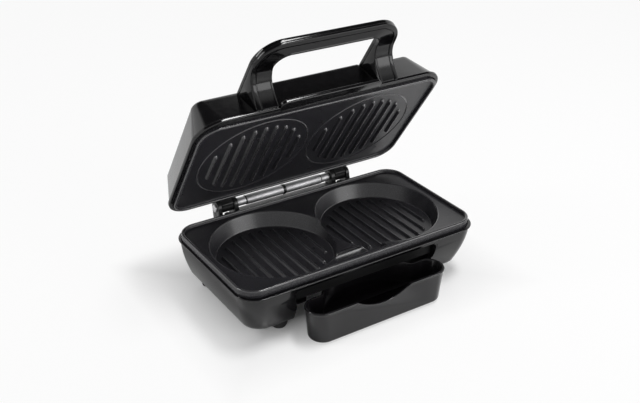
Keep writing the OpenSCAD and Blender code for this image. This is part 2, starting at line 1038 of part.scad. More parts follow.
module lid_shell() {
  color(col_gloss)
    open_lid()
      difference() {
        union() {
          lid_body();
          rounded_block(lid_w, lid_d, lid_r + 1, lid_low, lid_band_top + eps);
          side_bar([[-lid_half_d, lid_band_top], [-lid_half_d + lid_in_front - panel_push, lid_top - 0.4],
                    [-lid_half_d + lid_in_front - panel_push + 0.6, lid_top],
                    [-40, lid_top], [-40, lid_band_top]], panel_half);
          thumb_lip();
        }
        hull() {
          lid_level(0.16, upper_skirt_top + lid_ledge_t, lid_wall);
          lid_level(0.95, lid_top - lid_wall, lid_wall);
        }
        rounded_block(plate_w + 2 * plate_gap, plate_d + 2 * plate_gap, plate_r + plate_gap,
                      lid_low - cut, upper_skirt_top);
        translate([0, 0, upper_skirt_top - cut])
          linear_extrude(lid_ledge_t + 2 * cut)
            ledge_hole();
        at_plate_bosses()
          translate([0, 0, upper_skirt_top - cut])
            cylinder(r = screw_r + hole_gap, h = 2 * cut + lid_ledge_t, $fn = fn_small);
        at_lamps()
          cylinder(r = lamp_r, h = 20, center = true, $fn = 24);
        at_arm_screws()
          cylinder(r = screw_r + snug_gap, h = 16, center = true, $fn = fn_small);
        at_handle_screws()
          cylinder(r = screw_r + snug_gap, h = 14, center = true, $fn = fn_small);
      }
}

module at_lamps() {
  for (x = [-lamp_x, lamp_x])
    translate([x, lamp_y, lid_top])
      children();
}

module indicator_lamps() {
  color(col_lamp)
    open_lid()
      at_lamps()
        rotate_extrude($fn = 24)
          polygon([[0, -lamp_l], [lamp_r - touch, -lamp_l], [lamp_r - touch, 0], [lamp_r - 0.9, 0.8], [0, 1]]);
}

module upper_grill_plate() {
  color(col_plate)
    open_lid()
      union() {
        difference() {
          union() {
            difference() {
              rounded_block(plate_w, plate_d, plate_r, lip_h + touch, upper_skirt_top - touch);
              rounded_block(plate_w - 2 * lip_t, plate_d - 2 * lip_t, plate_r - lip_t,
                            upper_field + plate_t, upper_skirt_top + cut);
            }
            plate_bosses(upper_field + plate_t - eps, upper_skirt_top - touch);
            for (side = [-1, 1])
              translate([side * well_x, 0, upper_field + plate_t - eps])
                cylinder(r = stud_r, h = upper_reflector_z - upper_field - plate_t + eps, $fn = fn_small);
          }
          rounded_block(plate_w - 2 * lip_t, plate_d - 2 * lip_t, plate_r - lip_t,
                        lip_h - cut, upper_field);
          plate_boss_bores(upper_field + plate_t - 1.6, upper_skirt_top + cut);
          for (side = [-1, 1])
            translate([side * well_x, 0, upper_field + 1])
              cylinder(r = stud_bore_r, h = 20, $fn = fn_small);
        }
        for (side = [-1, 1])
          translate([side * well_x, 0, upper_field - upper_ring_h])
            difference() {
              cylinder(r = upper_ring_r + upper_ring_w / 2, h = upper_ring_h + eps, $fn = 96);
              translate([0, 0, -cut])
                cylinder(r = upper_ring_r - upper_ring_w / 2, h = upper_ring_h + 2 * cut, $fn = 96);
            }
        translate([0, 0, upper_field])
          mirror([0, 0, 1])
            ribs(upper_rib_circle, upper_rib_h);
      }
}

module upper_plate_screws() {
  color(col_steel)
    open_lid()
      at_plate_bosses()
        translate([0, 0, upper_skirt_top + lid_ledge_t])
          mirror([0, 0, 1])
            screw(lid_ledge_t + upper_skirt_top - upper_field - plate_t);
}

module upper_reflector_screws() {
  color(col_steel)
    open_lid()
      for (side = [-1, 1])
        translate([side * well_x, 0, upper_reflector_z + reflector_t])
          mirror([0, 0, 1])
            screw(upper_reflector_screw_l);
}

module upper_heating_element() {
  color(col_steel)
    open_lid()
      element(upper_ring_loop, upper_tube_z);
}

module upper_heat_reflector() {
  color(col_steel)
    open_lid()
      difference() {
        union() {
          rounded_block(upper_reflector_w, upper_reflector_d, upper_reflector_r,
                        upper_reflector_z, upper_reflector_z + reflector_t);
          for (side = [0, 1])
            mirror([0, side, 0])
              translate([-upper_reflector_w / 2 + upper_reflector_r, upper_reflector_d / 2 - reflector_t,
                         upper_reflector_z])
                cube([upper_reflector_w - 2 * upper_reflector_r, reflector_t, upper_reflector_h]);
        }
        for (side = [-1, 1])
          translate([side * well_x, 0, upper_reflector_z - cut])
            cylinder(r = screw_r + hole_gap, h = reflector_t + 2 * cut, $fn = fn_small);
        translate([0, 0, upper_reflector_z - cut])
          cylinder(r = stat_hole_r, h = reflector_t + 2 * cut, $fn = 24);
      }
}

// Lid arms

module at_arm_screws() {
  for (x = [-boss_x, boss_x], z = arm_screw_z)
    translate([x, lid_half_d - 1, z])
      rotate([90, 0, 0])
        children();
}

// height of the lid's back wall line at height z
function lid_back_at(z) = lid_half_d - lid_in_back * (z - lid_band_top) / (lid_top - lid_band_top);

module lid_hinge_arms() {
  color(col_black)
    open_lid()
      difference() {
        for (side = [0, 1])
          mirror([side, 0, 0])
            translate([arm_in, 0, 0])
              rotate([90, 0, 90])
                linear_extrude(arm_out - arm_in)
                  difference() {
                    union() {
                      translate([hinge_y, hinge_z])
                        circle(knuckle_r, $fn = 32);
                      polygon([[lid_d / 2 + touch, 1], [hinge_y, hinge_z - knuckle_r + 0.1],
                               [hinge_y + 5, hinge_z + 3], [lid_back_at(arm_top) + 4, arm_top],
                               [lid_back_at(arm_top) + touch, arm_top],
                               [lid_back_at(lid_band_top) + touch, lid_band_top + touch],
                               [lid_d / 2 + touch, lid_band_top + touch]]);
                    }
                    translate([hinge_y, hinge_z])
                      circle(pin_r + run_gap, $fn = 24);
                  }
        at_arm_screws()
          cylinder(r = screw_r + snug_gap, h = 16, center = true, $fn = fn_small);
      }
}

module hinge_arm_screws() {
  color(col_steel)
    open_lid()
      for (x = [-boss_x, boss_x], z = arm_screw_z)
        translate([x, lid_back_at(z) - lid_wall - head_off, z])
          rotate([-90, 0, 0])
            screw(arm_screw_l);
}

// Handle

module handle_plan() {
  gap = handle_w - 2 * leg_w;
  difference() {
    translate([-handle_w / 2, -handle_reach + corner_out])
      square([handle_w, handle_reach - corner_out + handle_back]);
    translate([-gap / 2, -handle_reach + corner_out - cut])
      square([gap, handle_reach]);
  }
  difference() {
    union() {
      for (side = [-1, 1])
        translate([side * (handle_w / 2 - corner_out), -handle_reach + corner_out])
          circle(corner_out, $fn = 64);
      translate([-handle_w / 2 + corner_out, -handle_reach])
        square([handle_w - 2 * corner_out, corner_out]);
    }
    translate([-gap / 2, -handle_reach + bar_t + corner_in])
      square([gap, handle_reach]);
    for (side = [-1, 1])
      translate([side * (gap / 2 - corner_in), -handle_reach + bar_t + corner_in])
        circle(corner_in, $fn = 48);
    translate([-gap / 2 + corner_in, -handle_reach + bar_t])
      square([gap - 2 * corner_in, corner_out]);
  }
}

// y of the lid's front wall at height z
function lid_front_at(z) = -lid_half_d + lid_in_front * (z - lid_band_top) / (lid_top - lid_band_top);

module handle_profile(low, high) {
  intersection() {
    linear_extrude(2 * handle_top)
      handle_plan();
    side_bar([[lid_front_at(lid_band_top) - touch, lid_band_top],
              [-lid_d / 2 - touch, lid_band_top - touch], [-lid_d / 2 - touch, arch_low],
              for (p = arch) [-lid_d / 2 - p[0] * arch_grow, p[1]],
              [-handle_reach + chin, chin_z - chin_h], [-handle_reach, chin_z],
              [-handle_reach, handle_top - brow], [-handle_reach + brow, handle_top],
              [lid_front_at(handle_top) - touch, handle_top]], handle_w);
    translate([-handle_w, -2 * handle_reach, low])
      cube([2 * handle_w, 4 * handle_reach, high - low]);
  }
}

module handle_base() {
  color(col_black)
    open_lid()
      difference() {
        handle_profile(0, handle_seam);
        at_handle_screws()
          cylinder(r = screw_r + touch, h = hole_l, center = true, $fn = fn_small);
      }
}

module handle_cover() {
  color(col_black)
    open_lid()
      handle_profile(handle_seam + touch, handle_top + cut);
}

module at_handle_screws() {
  for (x = [-1, 1], z = handle_screw_z)
    translate([x * (handle_w / 2 - leg_w / 2), lid_front_at(z) + 1, z])
      rotate([90, 0, 0])
        children();
}

module handle_screws() {
  color(col_steel)
    open_lid()
      for (x = [-1, 1], z = handle_screw_z)
        translate([x * (handle_w / 2 - leg_w / 2), lid_front_at(z) + lid_wall + handle_head_off, z])
          rotate([90, 0, 0])
            screw(handle_screw_l);
}

base_shell();
base_bottom_cover();
lower_grill_plate();
lower_heating_element();
lower_heat_reflector();
lower_plate_screws();
lower_reflector_screws();
bottom_cover_screws();
front_feet();
rear_feet();
lower_thermostat();
thermal_fuse();
terminal_block();
cord_gland();
base_hinge_brackets();
bracket_screws();
hinge_pin();
hinge_sleeve_left();
hinge_sleeve_right();
hinge_collars();
drip_tray();
lid_shell();
upper_grill_plate();
upper_heating_element();
upper_heat_reflector();
upper_plate_screws();
upper_reflector_screws();
upper_thermostat();
lid_hinge_arms();
hinge_arm_screws();
handle_base();
handle_cover();
handle_screws();
indicator_lamps();
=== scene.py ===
"""Looks of a two-well hamburger grill with its lid open and its grease tray drawn out.

Every size is in millimetres in the drawing frame of the part: z = 0 is the flat field of the
lower plate and y = 0 the middle of the wells. A Placement turns drawing points into metres.
"""

import logging
import math
from dataclasses import dataclass
from enum import Enum
from typing import Callable, Iterable, Optional, Sequence, Union

import bmesh
import bpy
from mathutils import Matrix, Vector


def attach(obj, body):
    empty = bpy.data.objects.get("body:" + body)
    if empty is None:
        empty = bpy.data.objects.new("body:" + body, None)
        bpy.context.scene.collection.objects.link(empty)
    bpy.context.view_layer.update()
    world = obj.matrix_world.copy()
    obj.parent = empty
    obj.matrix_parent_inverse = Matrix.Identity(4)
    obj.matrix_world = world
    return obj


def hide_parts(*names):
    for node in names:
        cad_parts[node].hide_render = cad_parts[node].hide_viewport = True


LOG = logging.getLogger("grill")
Point2 = tuple[float, float]
Point3 = tuple[float, float, float]
Ring = list[Point3]

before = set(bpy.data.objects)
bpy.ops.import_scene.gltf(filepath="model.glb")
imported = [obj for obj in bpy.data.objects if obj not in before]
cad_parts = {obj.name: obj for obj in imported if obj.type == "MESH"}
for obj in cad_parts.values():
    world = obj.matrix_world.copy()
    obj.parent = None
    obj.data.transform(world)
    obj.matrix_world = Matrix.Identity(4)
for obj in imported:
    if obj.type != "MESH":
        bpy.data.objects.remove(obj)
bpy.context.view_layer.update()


class Body(Enum):
    """The part's rigid bodies."""

    BASE = "base"
    TRAY = "tray"
    LID = "lid"


class Cut(Enum):
    """What a second solid does to the first."""

    AWAY = "DIFFERENCE"
    JOIN = "UNION"


class Axis(Enum):
    """Which way a turned profile's height runs, as the order of its three numbers."""

    X = (2, 0, 1)
    Z = (0, 1, 2)


@dataclass(frozen=True)
class Placement:
    """Turns a point of the drawing into the row frame.

    Attributes:
        y_mid: what lies over the frame's origin, in the drawing's y.
        floor: how far the table lies under the plate's field.
        hinge_y: the hinge axis in the drawing.
        hinge_z: the hinge axis in the drawing.
        angle: how far the lid stands open, in degrees.
    """

    y_mid: float = 4.6846
    floor: float = 54.5
    hinge_y: float = 78.0
    hinge_z: float = 3.5
    angle: float = 56.0

    def metres(self, point: Sequence[float], body: Body) -> Point3:
        """Puts one drawing point into the row frame.

        Args:
            point: x, y and z in the drawing, in millimetres, where the lid is shut.
            body: the body that the point belongs to.

        Returns:
            The point in metres, where the lid stands open.
        """
        x, y, z = point
        if body is Body.LID:
            c = math.cos(math.radians(self.angle))
            s = math.sin(math.radians(self.angle))
            dy = y - self.hinge_y
            dz = z - self.hinge_z
            y = self.hinge_y + dy * c + dz * s
            z = self.hinge_z - dy * s + dz * c
        return x / 1000, (y - self.y_mid) / 1000, (z + self.floor) / 1000


PLACEMENT = Placement()

# Radius that stands for a point on the axis of a turned profile.
POLE = 1e-4
# Faces that turn less than this, in degrees, are joined before edges are eased.
FLAT_ANGLE = 0.6
# Stretches in the corners of the base and the plates, and in those of the lid.
BASE_CORNER = 12
LID_CORNER = 14


# Outlines and solids


def arc(cx: float, cy: float, r: float, start: float, end: float, steps: int) -> list[Point2]:
    """Points of a circular arc.

    Args:
        cx: centre.
        cy: centre.
        r: radius.
        start: first angle in degrees.
        end: last angle in degrees.
        steps: number of stretches.

    Returns:
        The points from start to end, both included.
    """
    turns = (math.radians(start + (end - start) * i / steps) for i in range(steps + 1))
    return [(cx + r * math.cos(a), cy + r * math.sin(a)) for a in turns]


def rounded_outline(half_w: float, front: float, back: float, r: float, steps: int = 10,
                    stations: Sequence[float] = ()) -> list[Point2]:
    """A rounded rectangle, anticlockwise from its back right corner.

    Args:
        half_w: half its width.
        front: y of its front edge, below back.
        back: y of its back edge.
        r: corner radius.
        steps: stretches in each corner.
        stations: extra x values on the front edge, from left to right.

    Returns:
        The outline's points.
    """
    w = half_w - r
    return (arc(w, back - r, r, 0, 90, steps) + arc(-w, back - r, r, 90, 180, steps)
            + arc(-w, front + r, r, 180, 270, steps) + [(x, front) for x in stations]
            + arc(w, front + r, r, 270, 360, steps))


def stadium(half: float, cy: float, r: float, steps: int = 20) -> list[Point2]:
    """A long hole shape: two half circles joined by straight sides.

    Args:
        half: half the distance between the circles' centres.
        cy: y of its middle line.
        r: radius of the ends.
        steps: stretches in each end.

    Returns:
        The outline, anticlockwise.
    """
    return arc(half, cy, r, -90, 90, steps) + arc(-half, cy, r, 90, 270, steps)


def circle(cx: float, cy: float, r: float, steps: int, turn: float = 0.0) -> list[Point2]:
    """Points all round a circle, anticlockwise.

    Args:
        cx: centre.
        cy: centre.
        r: radius.
        steps: number of points.
        turn: angle of the first point in degrees.

    Returns:
        The points.
    """
    return arc(cx, cy, r, turn, turn + (360.0 - 360.0 / steps), steps - 1)


def level(outline: Iterable[Point2], z: float) -> Ring:
    """Lifts a flat outline to height z."""
    return [(x, y, z) for x, y in outline]


class Solid:
    """A mesh under construction, in drawing millimetres."""

    def __init__(self, name: str) -> None:
        """Starts an empty mesh with that name."""
        self.name = name
        self.bm = bmesh.new()

    def ring(self, points: Iterable[Point3]) -> list[bmesh.types.BMVert]:
        """Adds loose points and returns their vertices."""
        return [self.bm.verts.new(p) for p in points]

    def bridge(self, a: list, b: list) -> None:
        """Joins two closed rings of the same length with quads."""
        for i in range(len(a)):
            j = (i + 1) % len(a)
            self.bm.faces.new((a[i], a[j], b[j], b[i]))

    def loft(self, rings: Sequence[Iterable[Point3]], caps: bool = True,
             loop: bool = False) -> "Solid":
        """Skins a row of rings.

        Args:
            rings: closed rings with the same number of points.
            caps: whether the first and last are filled.
            loop: whether the last joins the first.

        Returns:
            This solid.
        """
        made = [self.ring(r) for r in rings]
        for a, b in zip(made, made[1:]):
            self.bridge(a, b)
        if loop:
            self.bridge(made[-1], made[0])
        elif caps:
            self.bm.faces.new(list(reversed(made[0])))
            self.bm.faces.new(made[-1])
        return self

    def lathe(self, profile: Sequence[Point2], axis: Axis, centre: Point3, steps: int = 48) -> "Solid":
        """Turns a profile of (radius, height) round an axis.

        Args:
            profile: closed in itself where it starts and ends at radius 0, else left open.
            axis: the way the height runs.
            centre: where height 0 of the axis lies.
            steps: stretches in a full turn.

        Returns:
            This solid.
        """
        turns = [2 * math.pi * i / steps for i in range(steps)]
        rings = []
        for r, h in profile:
            spin = [(max(r, POLE) * math.cos(a), max(r, POLE) * math.sin(a), h) for a in turns]
            rings.append([tuple(p[k] + c for k, c in zip(axis.value, centre)) for p in spin])
        return self.loft(rings)

    def prism(self, outline: Sequence[Point2], low: float, high: float) -> "Solid":
        """Adds an upright prism on an outline."""
        return self.loft([level(outline, low), level(outline, high)])

    def side_prism(self, profile: Sequence[Point2], x0: float, x1: float) -> "Solid":
        """Adds a prism of a (y, z) profile that runs from x0 to x1."""
        return self.loft([[(x0, y, z) for y, z in profile], [(x1, y, z) for y, z in profile]])

    def add(self, other: "Solid") -> "Solid":
        """Takes the other solid's faces in, as a body of its own."""
        mesh = bpy.data.meshes.new("part")
        other.bm.to_mesh(mesh)
        self.bm.from_mesh(mesh)
        bpy.data.meshes.remove(mesh)
        other.bm.free()
        return self

    def object(self) -> bpy.types.Object:
        """Turns the drawing into a linked object, still in millimetres."""
        bmesh.ops.recalc_face_normals(self.bm, faces=self.bm.faces)
        mesh = bpy.data.meshes.new(self.name)
        self.bm.to_mesh(mesh)
        self.bm.free()
        obj = bpy.data.objects.new(self.name, mesh)
        bpy.context.scene.collection.objects.link(obj)
        return obj


def settle(obj: bpy.types.Object) -> bpy.types.Object:
    """Writes an object's modifiers into its mesh."""
    graph = bpy.context.evaluated_depsgraph_get()
    graph.update()
    mesh = bpy.data.meshes.new_from_object(obj.evaluated_get(graph))
    obj.modifiers.clear()
    old, obj.data = obj.data, mesh
    bpy.data.meshes.remove(old)
    mesh.name = obj.name
    return obj


def carve(body: bpy.types.Object, tool: Solid, cut: Cut = Cut.AWAY) -> bpy.types.Object:
    """Cuts a solid away from a body, or joins it on.

    Args:
        body: the object that changes.
        tool: the second solid, used up.
        cut: what happens with it.

    Returns:
        The body.
    """
    cutter = tool.object()
    modifier = body.modifiers.new("cut", "BOOLEAN")
    modifier.operation = cut.value
    modifier.solver = "EXACT"
    modifier.object = cutter
    settle(body)
    bpy.data.objects.remove(cutter)
    return body


def ease_edges(body: bpy.types.Object, width: float, angle: float = 30.0, segments: int = 3,
               where: Optional[Callable[[Vector], bool]] = None) -> bpy.types.Object:
    """Rounds the sharp edges of a body.

    Args:
        body: the object, in millimetres or metres as width is.
        width: how wide the rounding is.
        angle: edges that turn less than this stay.
        segments: stretches in the rounding.
        where: if given, only edges whose two ends pass it are rounded.

    Returns:
        The body.
    """
    bm = bmesh.new()
    bm.from_mesh(body.data)
    bmesh.ops.remove_doubles(bm, verts=bm.verts, dist=width * 0.01)
    bmesh.ops.dissolve_limit(bm, angle_limit=math.radians(FLAT_ANGLE), verts=bm.verts, edges=bm.edges)
    chosen = [e for e in bm.edges if len(e.link_faces) == 2
              and e.calc_face_angle(0.0) > math.radians(angle)
              and (where is None or all(where(v.co) for v in e.verts))]
    bmesh.ops.bevel(bm, geom=chosen, offset=width, segments=segments, profile=0.5,
                    affect="EDGES", clamp_overlap=False, offset_type="OFFSET")
    bm.to_mesh(body.data)
    bm.free()
    return body


def dress(obj: bpy.types.Object, finish: "Finish", body: Body, nodes: Sequence[str],
          sharp: float = 32.0) -> bpy.types.Object:
    """Shades and finishes a piece and ties it to its body.

    Args:
        obj: the piece in its place, in metres.
        finish: its finish.
        body: the body that carries it.
        nodes: the CAD nodes that it stands for.
        sharp: edges that turn more than this, in degrees, stay crisp.

    Returns:
        The piece.
    """
    obj.data.polygons.foreach_set("use_smooth", [True] * len(obj.data.polygons))
    obj.data.set_sharp_from_angle(angle=math.radians(sharp))
    obj.data.materials.clear()
    obj.data.materials.append(finish.material())
    obj.data.update()
    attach(obj, body.value)
    if nodes:
        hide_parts(*nodes)
    LOG.info("made %s: %d faces", obj.name, len(obj.data.polygons))
    return obj


def finish_piece(obj: bpy.types.Object, finish: "Finish", body: Body,
                 nodes: Sequence[str] = ()) -> bpy.types.Object:
    """Puts a drawn piece in its place and dresses it.

    Args:
        obj: the piece in drawing millimetres.
        finish: its finish.
        body: the body that carries it.
        nodes: the CAD nodes that it stands for.

    Returns:
        The piece.
    """
    for vertex in obj.data.vertices:
        vertex.co = PLACEMENT.metres(vertex.co, body)
    return dress(obj, finish, body, nodes)


def refinish(obj: bpy.types.Object, faces: Sequence[int], finish: "Finish") -> None:
    """Gives some faces of a finished piece a second finish.

    Args:
        obj: the piece.
        faces: the faces' numbers.
        finish: their finish.
    """
    obj.data.materials.append(finish.material())
    for index in faces:
        obj.data.polygons[index].material_index = len(obj.data.materials) - 1


def faces_where(obj: bpy.types.Object, test: Callable[[Vector, Vector], bool]) -> list[int]:
    """Numbers of the faces whose centre and normal, in the drawing, pass a test."""
    return [face.index for face in obj.data.polygons if test(face.center, face.normal)]


# Finishes

Socket = bpy.types.NodeSocket
Colour = tuple[float, float, float]
Number = Union[Socket, float]
Tone = Union[Socket, Colour]


class Graph:
    """A short way to write a material's nodes."""

    def __init__(self, name: str) -> None:
        """Starts a material with an empty node tree."""
        self.material = bpy.data.materials.new(name)
        self.material.use_nodes = True
        self.nodes = self.material.node_tree.nodes
        self.links = self.material.node_tree.links
        self.nodes.clear()

    def node(self, kind: str, inputs: Optional[dict] = None, **options: object) -> bpy.types.Node:
        """Adds a node.

        Args:
            kind: the node's type name without its ShaderNode prefix.
            inputs: values or sockets for its inputs, by name or number.
            options: the node's own settings.

        Returns:
            The node.
        """
        made = self.nodes.new("ShaderNode" + kind)
        for key, value in options.items():
            setattr(made, key, value)
        for key, value in (inputs or {}).items():
            if isinstance(value, Socket):
                self.links.new(value, made.inputs[key])
            else:
                made.inputs[key].default_value = value
        return made

    def ramp(self, source: Socket, low: float, high: float, a: float, b: float) -> Socket:
        """Maps source from low..high to a..b, and returns the result's socket."""
        return self.node("MapRange", {"Value": source, "From Min": low, "From Max": high,
                                      "To Min": a, "To Max": b}).outputs["Result"]

    def noise(self, where: Socket, scale: float, detail: float = 3.0) -> Socket:
        """Noise of that scale, per metre, as a socket."""
        return self.node("TexNoise", {"Vector": where, "Scale": scale, "Detail": detail}).outputs["Fac"]

    def maths(self, operation: str, a: Number, b: Number = 0.0) -> Socket:
        """The result of one sum, as a socket."""
        return self.node("Math", {0: a, 1: b}, operation=operation).outputs["Value"]

    def mix(self, share: Socket, a: Tone, b: Tone) -> Socket:
        """Mixes two colours.

        Args:
            share: how much of the second there is.
            a: the first colour.
            b: the second colour.

        Returns:
            The mixed colour.
        """
        first, second = (v if isinstance(v, Socket) else (*v, 1) for v in (a, b))
        return self.node("Mix", {"Factor": share, 6: first, 7: second}, data_type="RGBA").outputs[2]


@dataclass(frozen=True)
class EdgeHighlight:
    """Painted highlight and smoother roughness where a surface bends.

    Attributes:
        colour: the painted highlight's colour, linear.
        highlight_from: bend at which the painted highlight starts.
        highlight_full: bend at which it is complete.
        smooth_from: bend at which the surface starts to get smoother.
        smooth_full: bend at which that is complete.
        smoothing: largest share of the roughness that is lost.
        lead: how much sooner than the painted highlight the smoothing is complete.
    """

    colour: Colour = (0.3, 0.3, 0.31)
    highlight_from: float = 0.05
    highlight_full: float = 0.16
    smooth_from: float = 0.02
    smooth_full: float = 0.08
    smoothing: float = 0.6
    lead: float = 3.0


EDGE_HIGHLIGHT = EdgeHighlight()
# The speckle's size, per metre, and how rough a clear coat and how strong a bump are.
SPECKLE_SCALE = 1500.0
COAT_ROUGHNESS = 0.08
BUMP_STRENGTH = 0.35


@dataclass(frozen=True)
class Finish:
    """A surface finish, built as nodes.

    Attributes:
        name: the material's name.
        slot: the record's material slot; not used.
        deep: the darker colour, linear.
        light: the lighter colour, linear.
        rough_low: lowest roughness.
        rough_high: highest roughness.
        grain: size of the bump's grain, per metre.
        bump: height of the grain in metres.
        metallic: whether it is metal.
        coat: share of a clear coat.
        patch: size of the colour's patches, per metre.
        stretch: how much the grain is drawn out along x.
        edge_highlight_share: share of the painted highlight on rounded edges and in fillets, which also
            makes them smoother.
        speckle: share of the lighter colour's fine speckle.
        gloss: specular level.
    """

    name: str
    slot: str
    deep: Colour
    light: Colour
    rough_low: float
    rough_high: float
    grain: float = 900.0
    bump: float = 0.00001
    metallic: float = 0.0
    coat: float = 0.0
    patch: float = 35.0
    stretch: float = 1.0
    edge_highlight_share: float = 0.0
    speckle: float = 0.0
    gloss: float = 0.5

    def material(self) -> bpy.types.Material:
        """Builds the material once and then gives the same one back.

        Returns:
            The node material.
        """
        known = bpy.data.materials.get(self.name)
        if known:
            return known
        g = Graph(self.name)
        at = g.node("TexCoord").outputs["Object"]
        pointy = g.node("NewGeometry").outputs["Pointiness"]
        bend = g.maths("ABSOLUTE", g.maths("SUBTRACT", pointy, 0.5))
        shader = g.node("BsdfPrincipled", {
            "Base Color": self.tone(g, at, bend),
            "Roughness": self.roughness(g, at, bend),
            "Metallic": self.metallic,
            "Normal": self.dents(g, at),
            "Coat Weight": self.coat,
            "Coat Roughness": COAT_ROUGHNESS,
            "Specular IOR Level": self.gloss})
        g.node("OutputMaterial", {"Surface": shader.outputs["BSDF"]})
        return g.material

    def tone(self, g: Graph, at: Socket, bend: Socket) -> Socket:
        """Colour in broad patches, with fine specks and a painted highlight on rounded edges and in fillets.

        Args:
            g: the material's nodes.
            at: the place on the object.
            bend: how much the surface bends there.

        Returns:
            The colour.
        """
        patches = g.ramp(g.noise(at, self.patch), 0.3, 0.7, 0.0, 1.0)
        dots = g.ramp(g.noise(at, SPECKLE_SCALE, 1.0), 0.45, 0.75, 0.0, self.speckle)
        speck = tuple(min(1.0, c * 3.0 + 0.02) for c in self.light)
        plain = g.mix(dots, g.mix(patches, self.deep, self.light), speck)
        # Painted highlight: where the surface bends, the colour is mixed towards a light grey.
        return g.mix(g.ramp(bend, EDGE_HIGHLIGHT.highlight_from, EDGE_HIGHLIGHT.highlight_full, 0.0, self.edge_highlight_share), plain, EDGE_HIGHLIGHT.colour)

    def roughness(self, g: Graph, at: Socket, bend: Socket) -> Socket:
        """Roughness in smears, lower where the surface bends.

        Args:
            g: the material's nodes.
            at: the place on the object.
            bend: how much the surface bends there.

        Returns:
            The roughness.
        """
        smear = g.ramp(g.noise(at, self.patch * 4.0), 0.25, 0.75, self.rough_low, self.rough_high)
        kept = 1.0 - EDGE_HIGHLIGHT.smoothing * min(1.0, self.edge_highlight_share * EDGE_HIGHLIGHT.lead)
        return g.maths("MULTIPLY", smear, g.ramp(bend, EDGE_HIGHLIGHT.smooth_from, EDGE_HIGHLIGHT.smooth_full, 1.0, kept))

    def dents(self, g: Graph, at: Socket) -> Socket:
        """Fine grain as a bumped normal.

        Args:
            g: the material's nodes.
            at: the place on the object.

        Returns:
            The normal.
        """
        drawn = g.node("Mapping", {"Vector": at, "Scale": (1.0 / self.stretch, 1.0, 1.0)}).outputs["Vector"]
        fine = g.noise(drawn, self.grain, 2.0)
        return g.node("Bump", {"Height": fine, "Strength": BUMP_STRENGTH,
                               "Distance": self.bump}).outputs["Normal"]


class Finishes:
    """The grill's finishes, by what they are on."""

    HOUSING = Finish("black_gloss", "housing", (0.0028, 0.0026, 0.003), (0.0042, 0.004, 0.0046),
                     0.1, 0.16, 1400, 0.000003, edge_highlight_share=0.1)
    TRAY = Finish("tray_gloss", "tray", (0.004, 0.0037, 0.0044), (0.006, 0.0056, 0.0066),
                  0.12, 0.18, 1400, 0.000003, edge_highlight_share=0.1)
    HANDLE = Finish("handle_gloss", "handle", (0.0024, 0.0023, 0.0026), (0.0036, 0.0035, 0.004),
                    0.08, 0.13, 1400, 0.000003, edge_highlight_share=0.12, gloss=0.36)
    BLACK = Finish("black_satin", "black_plastic", (0.005, 0.005, 0.0053), (0.008, 0.008, 0.0085),
                   0.3, 0.42, 1800, 0.00002)
    PLATE = Finish("non_stick_coat", "grill_plate", (0.0085, 0.0082, 0.0098), (0.0125, 0.012, 0.0145),
                   0.27, 0.33, 2200, 0.00003, patch=28.0, edge_highlight_share=0.4, speckle=0.6)
    INSIDE = Finish("dull_black", "housing", (0.0024, 0.0024, 0.0026), (0.004, 0.004, 0.0043),
                    0.5, 0.6, 1500, 0.00001, gloss=0.15)
    # Painted highlight: a lighter and smoother copy of the plate's coat, put on the plates' lips, well rims
    # and feet, rib crests and ends, ring beads and drain slope.
    PLATE_HIGHLIGHT = Finish("polished_coat_highlight", "grill_plate", (0.03, 0.0295, 0.032), (0.042, 0.041, 0.044),
                 0.12, 0.17, 2200, 0.000006, gloss=0.9)
    STEEL = Finish("sheet_steel", "steel", (0.42, 0.42, 0.43), (0.55, 0.55, 0.56),
                   0.26, 0.38, 700, 0.00001, metallic=1.0, patch=50.0, stretch=12.0)
    BRIGHT = Finish("hinge_metal", "bright_metal", (0.5, 0.5, 0.51), (0.58, 0.58, 0.59),
                    0.48, 0.56, 2600, 0.000002, metallic=1.0, patch=60.0)
    RUBBER = Finish("foot_rubber", "rubber", (0.012, 0.012, 0.012), (0.02, 0.02, 0.02),
                    0.55, 0.7, 1500, 0.00003)
    CERAMIC = Finish("fired_ceramic", "ceramic", (0.66, 0.63, 0.56), (0.74, 0.71, 0.64),
                     0.5, 0.62, 1100, 0.00002)
    LAMP = Finish("red_lens", "lamp_lens", (0.42, 0.012, 0.008), (0.5, 0.02, 0.012),
                  0.08, 0.14, 600, 0.000002, coat=0.4)


# Base


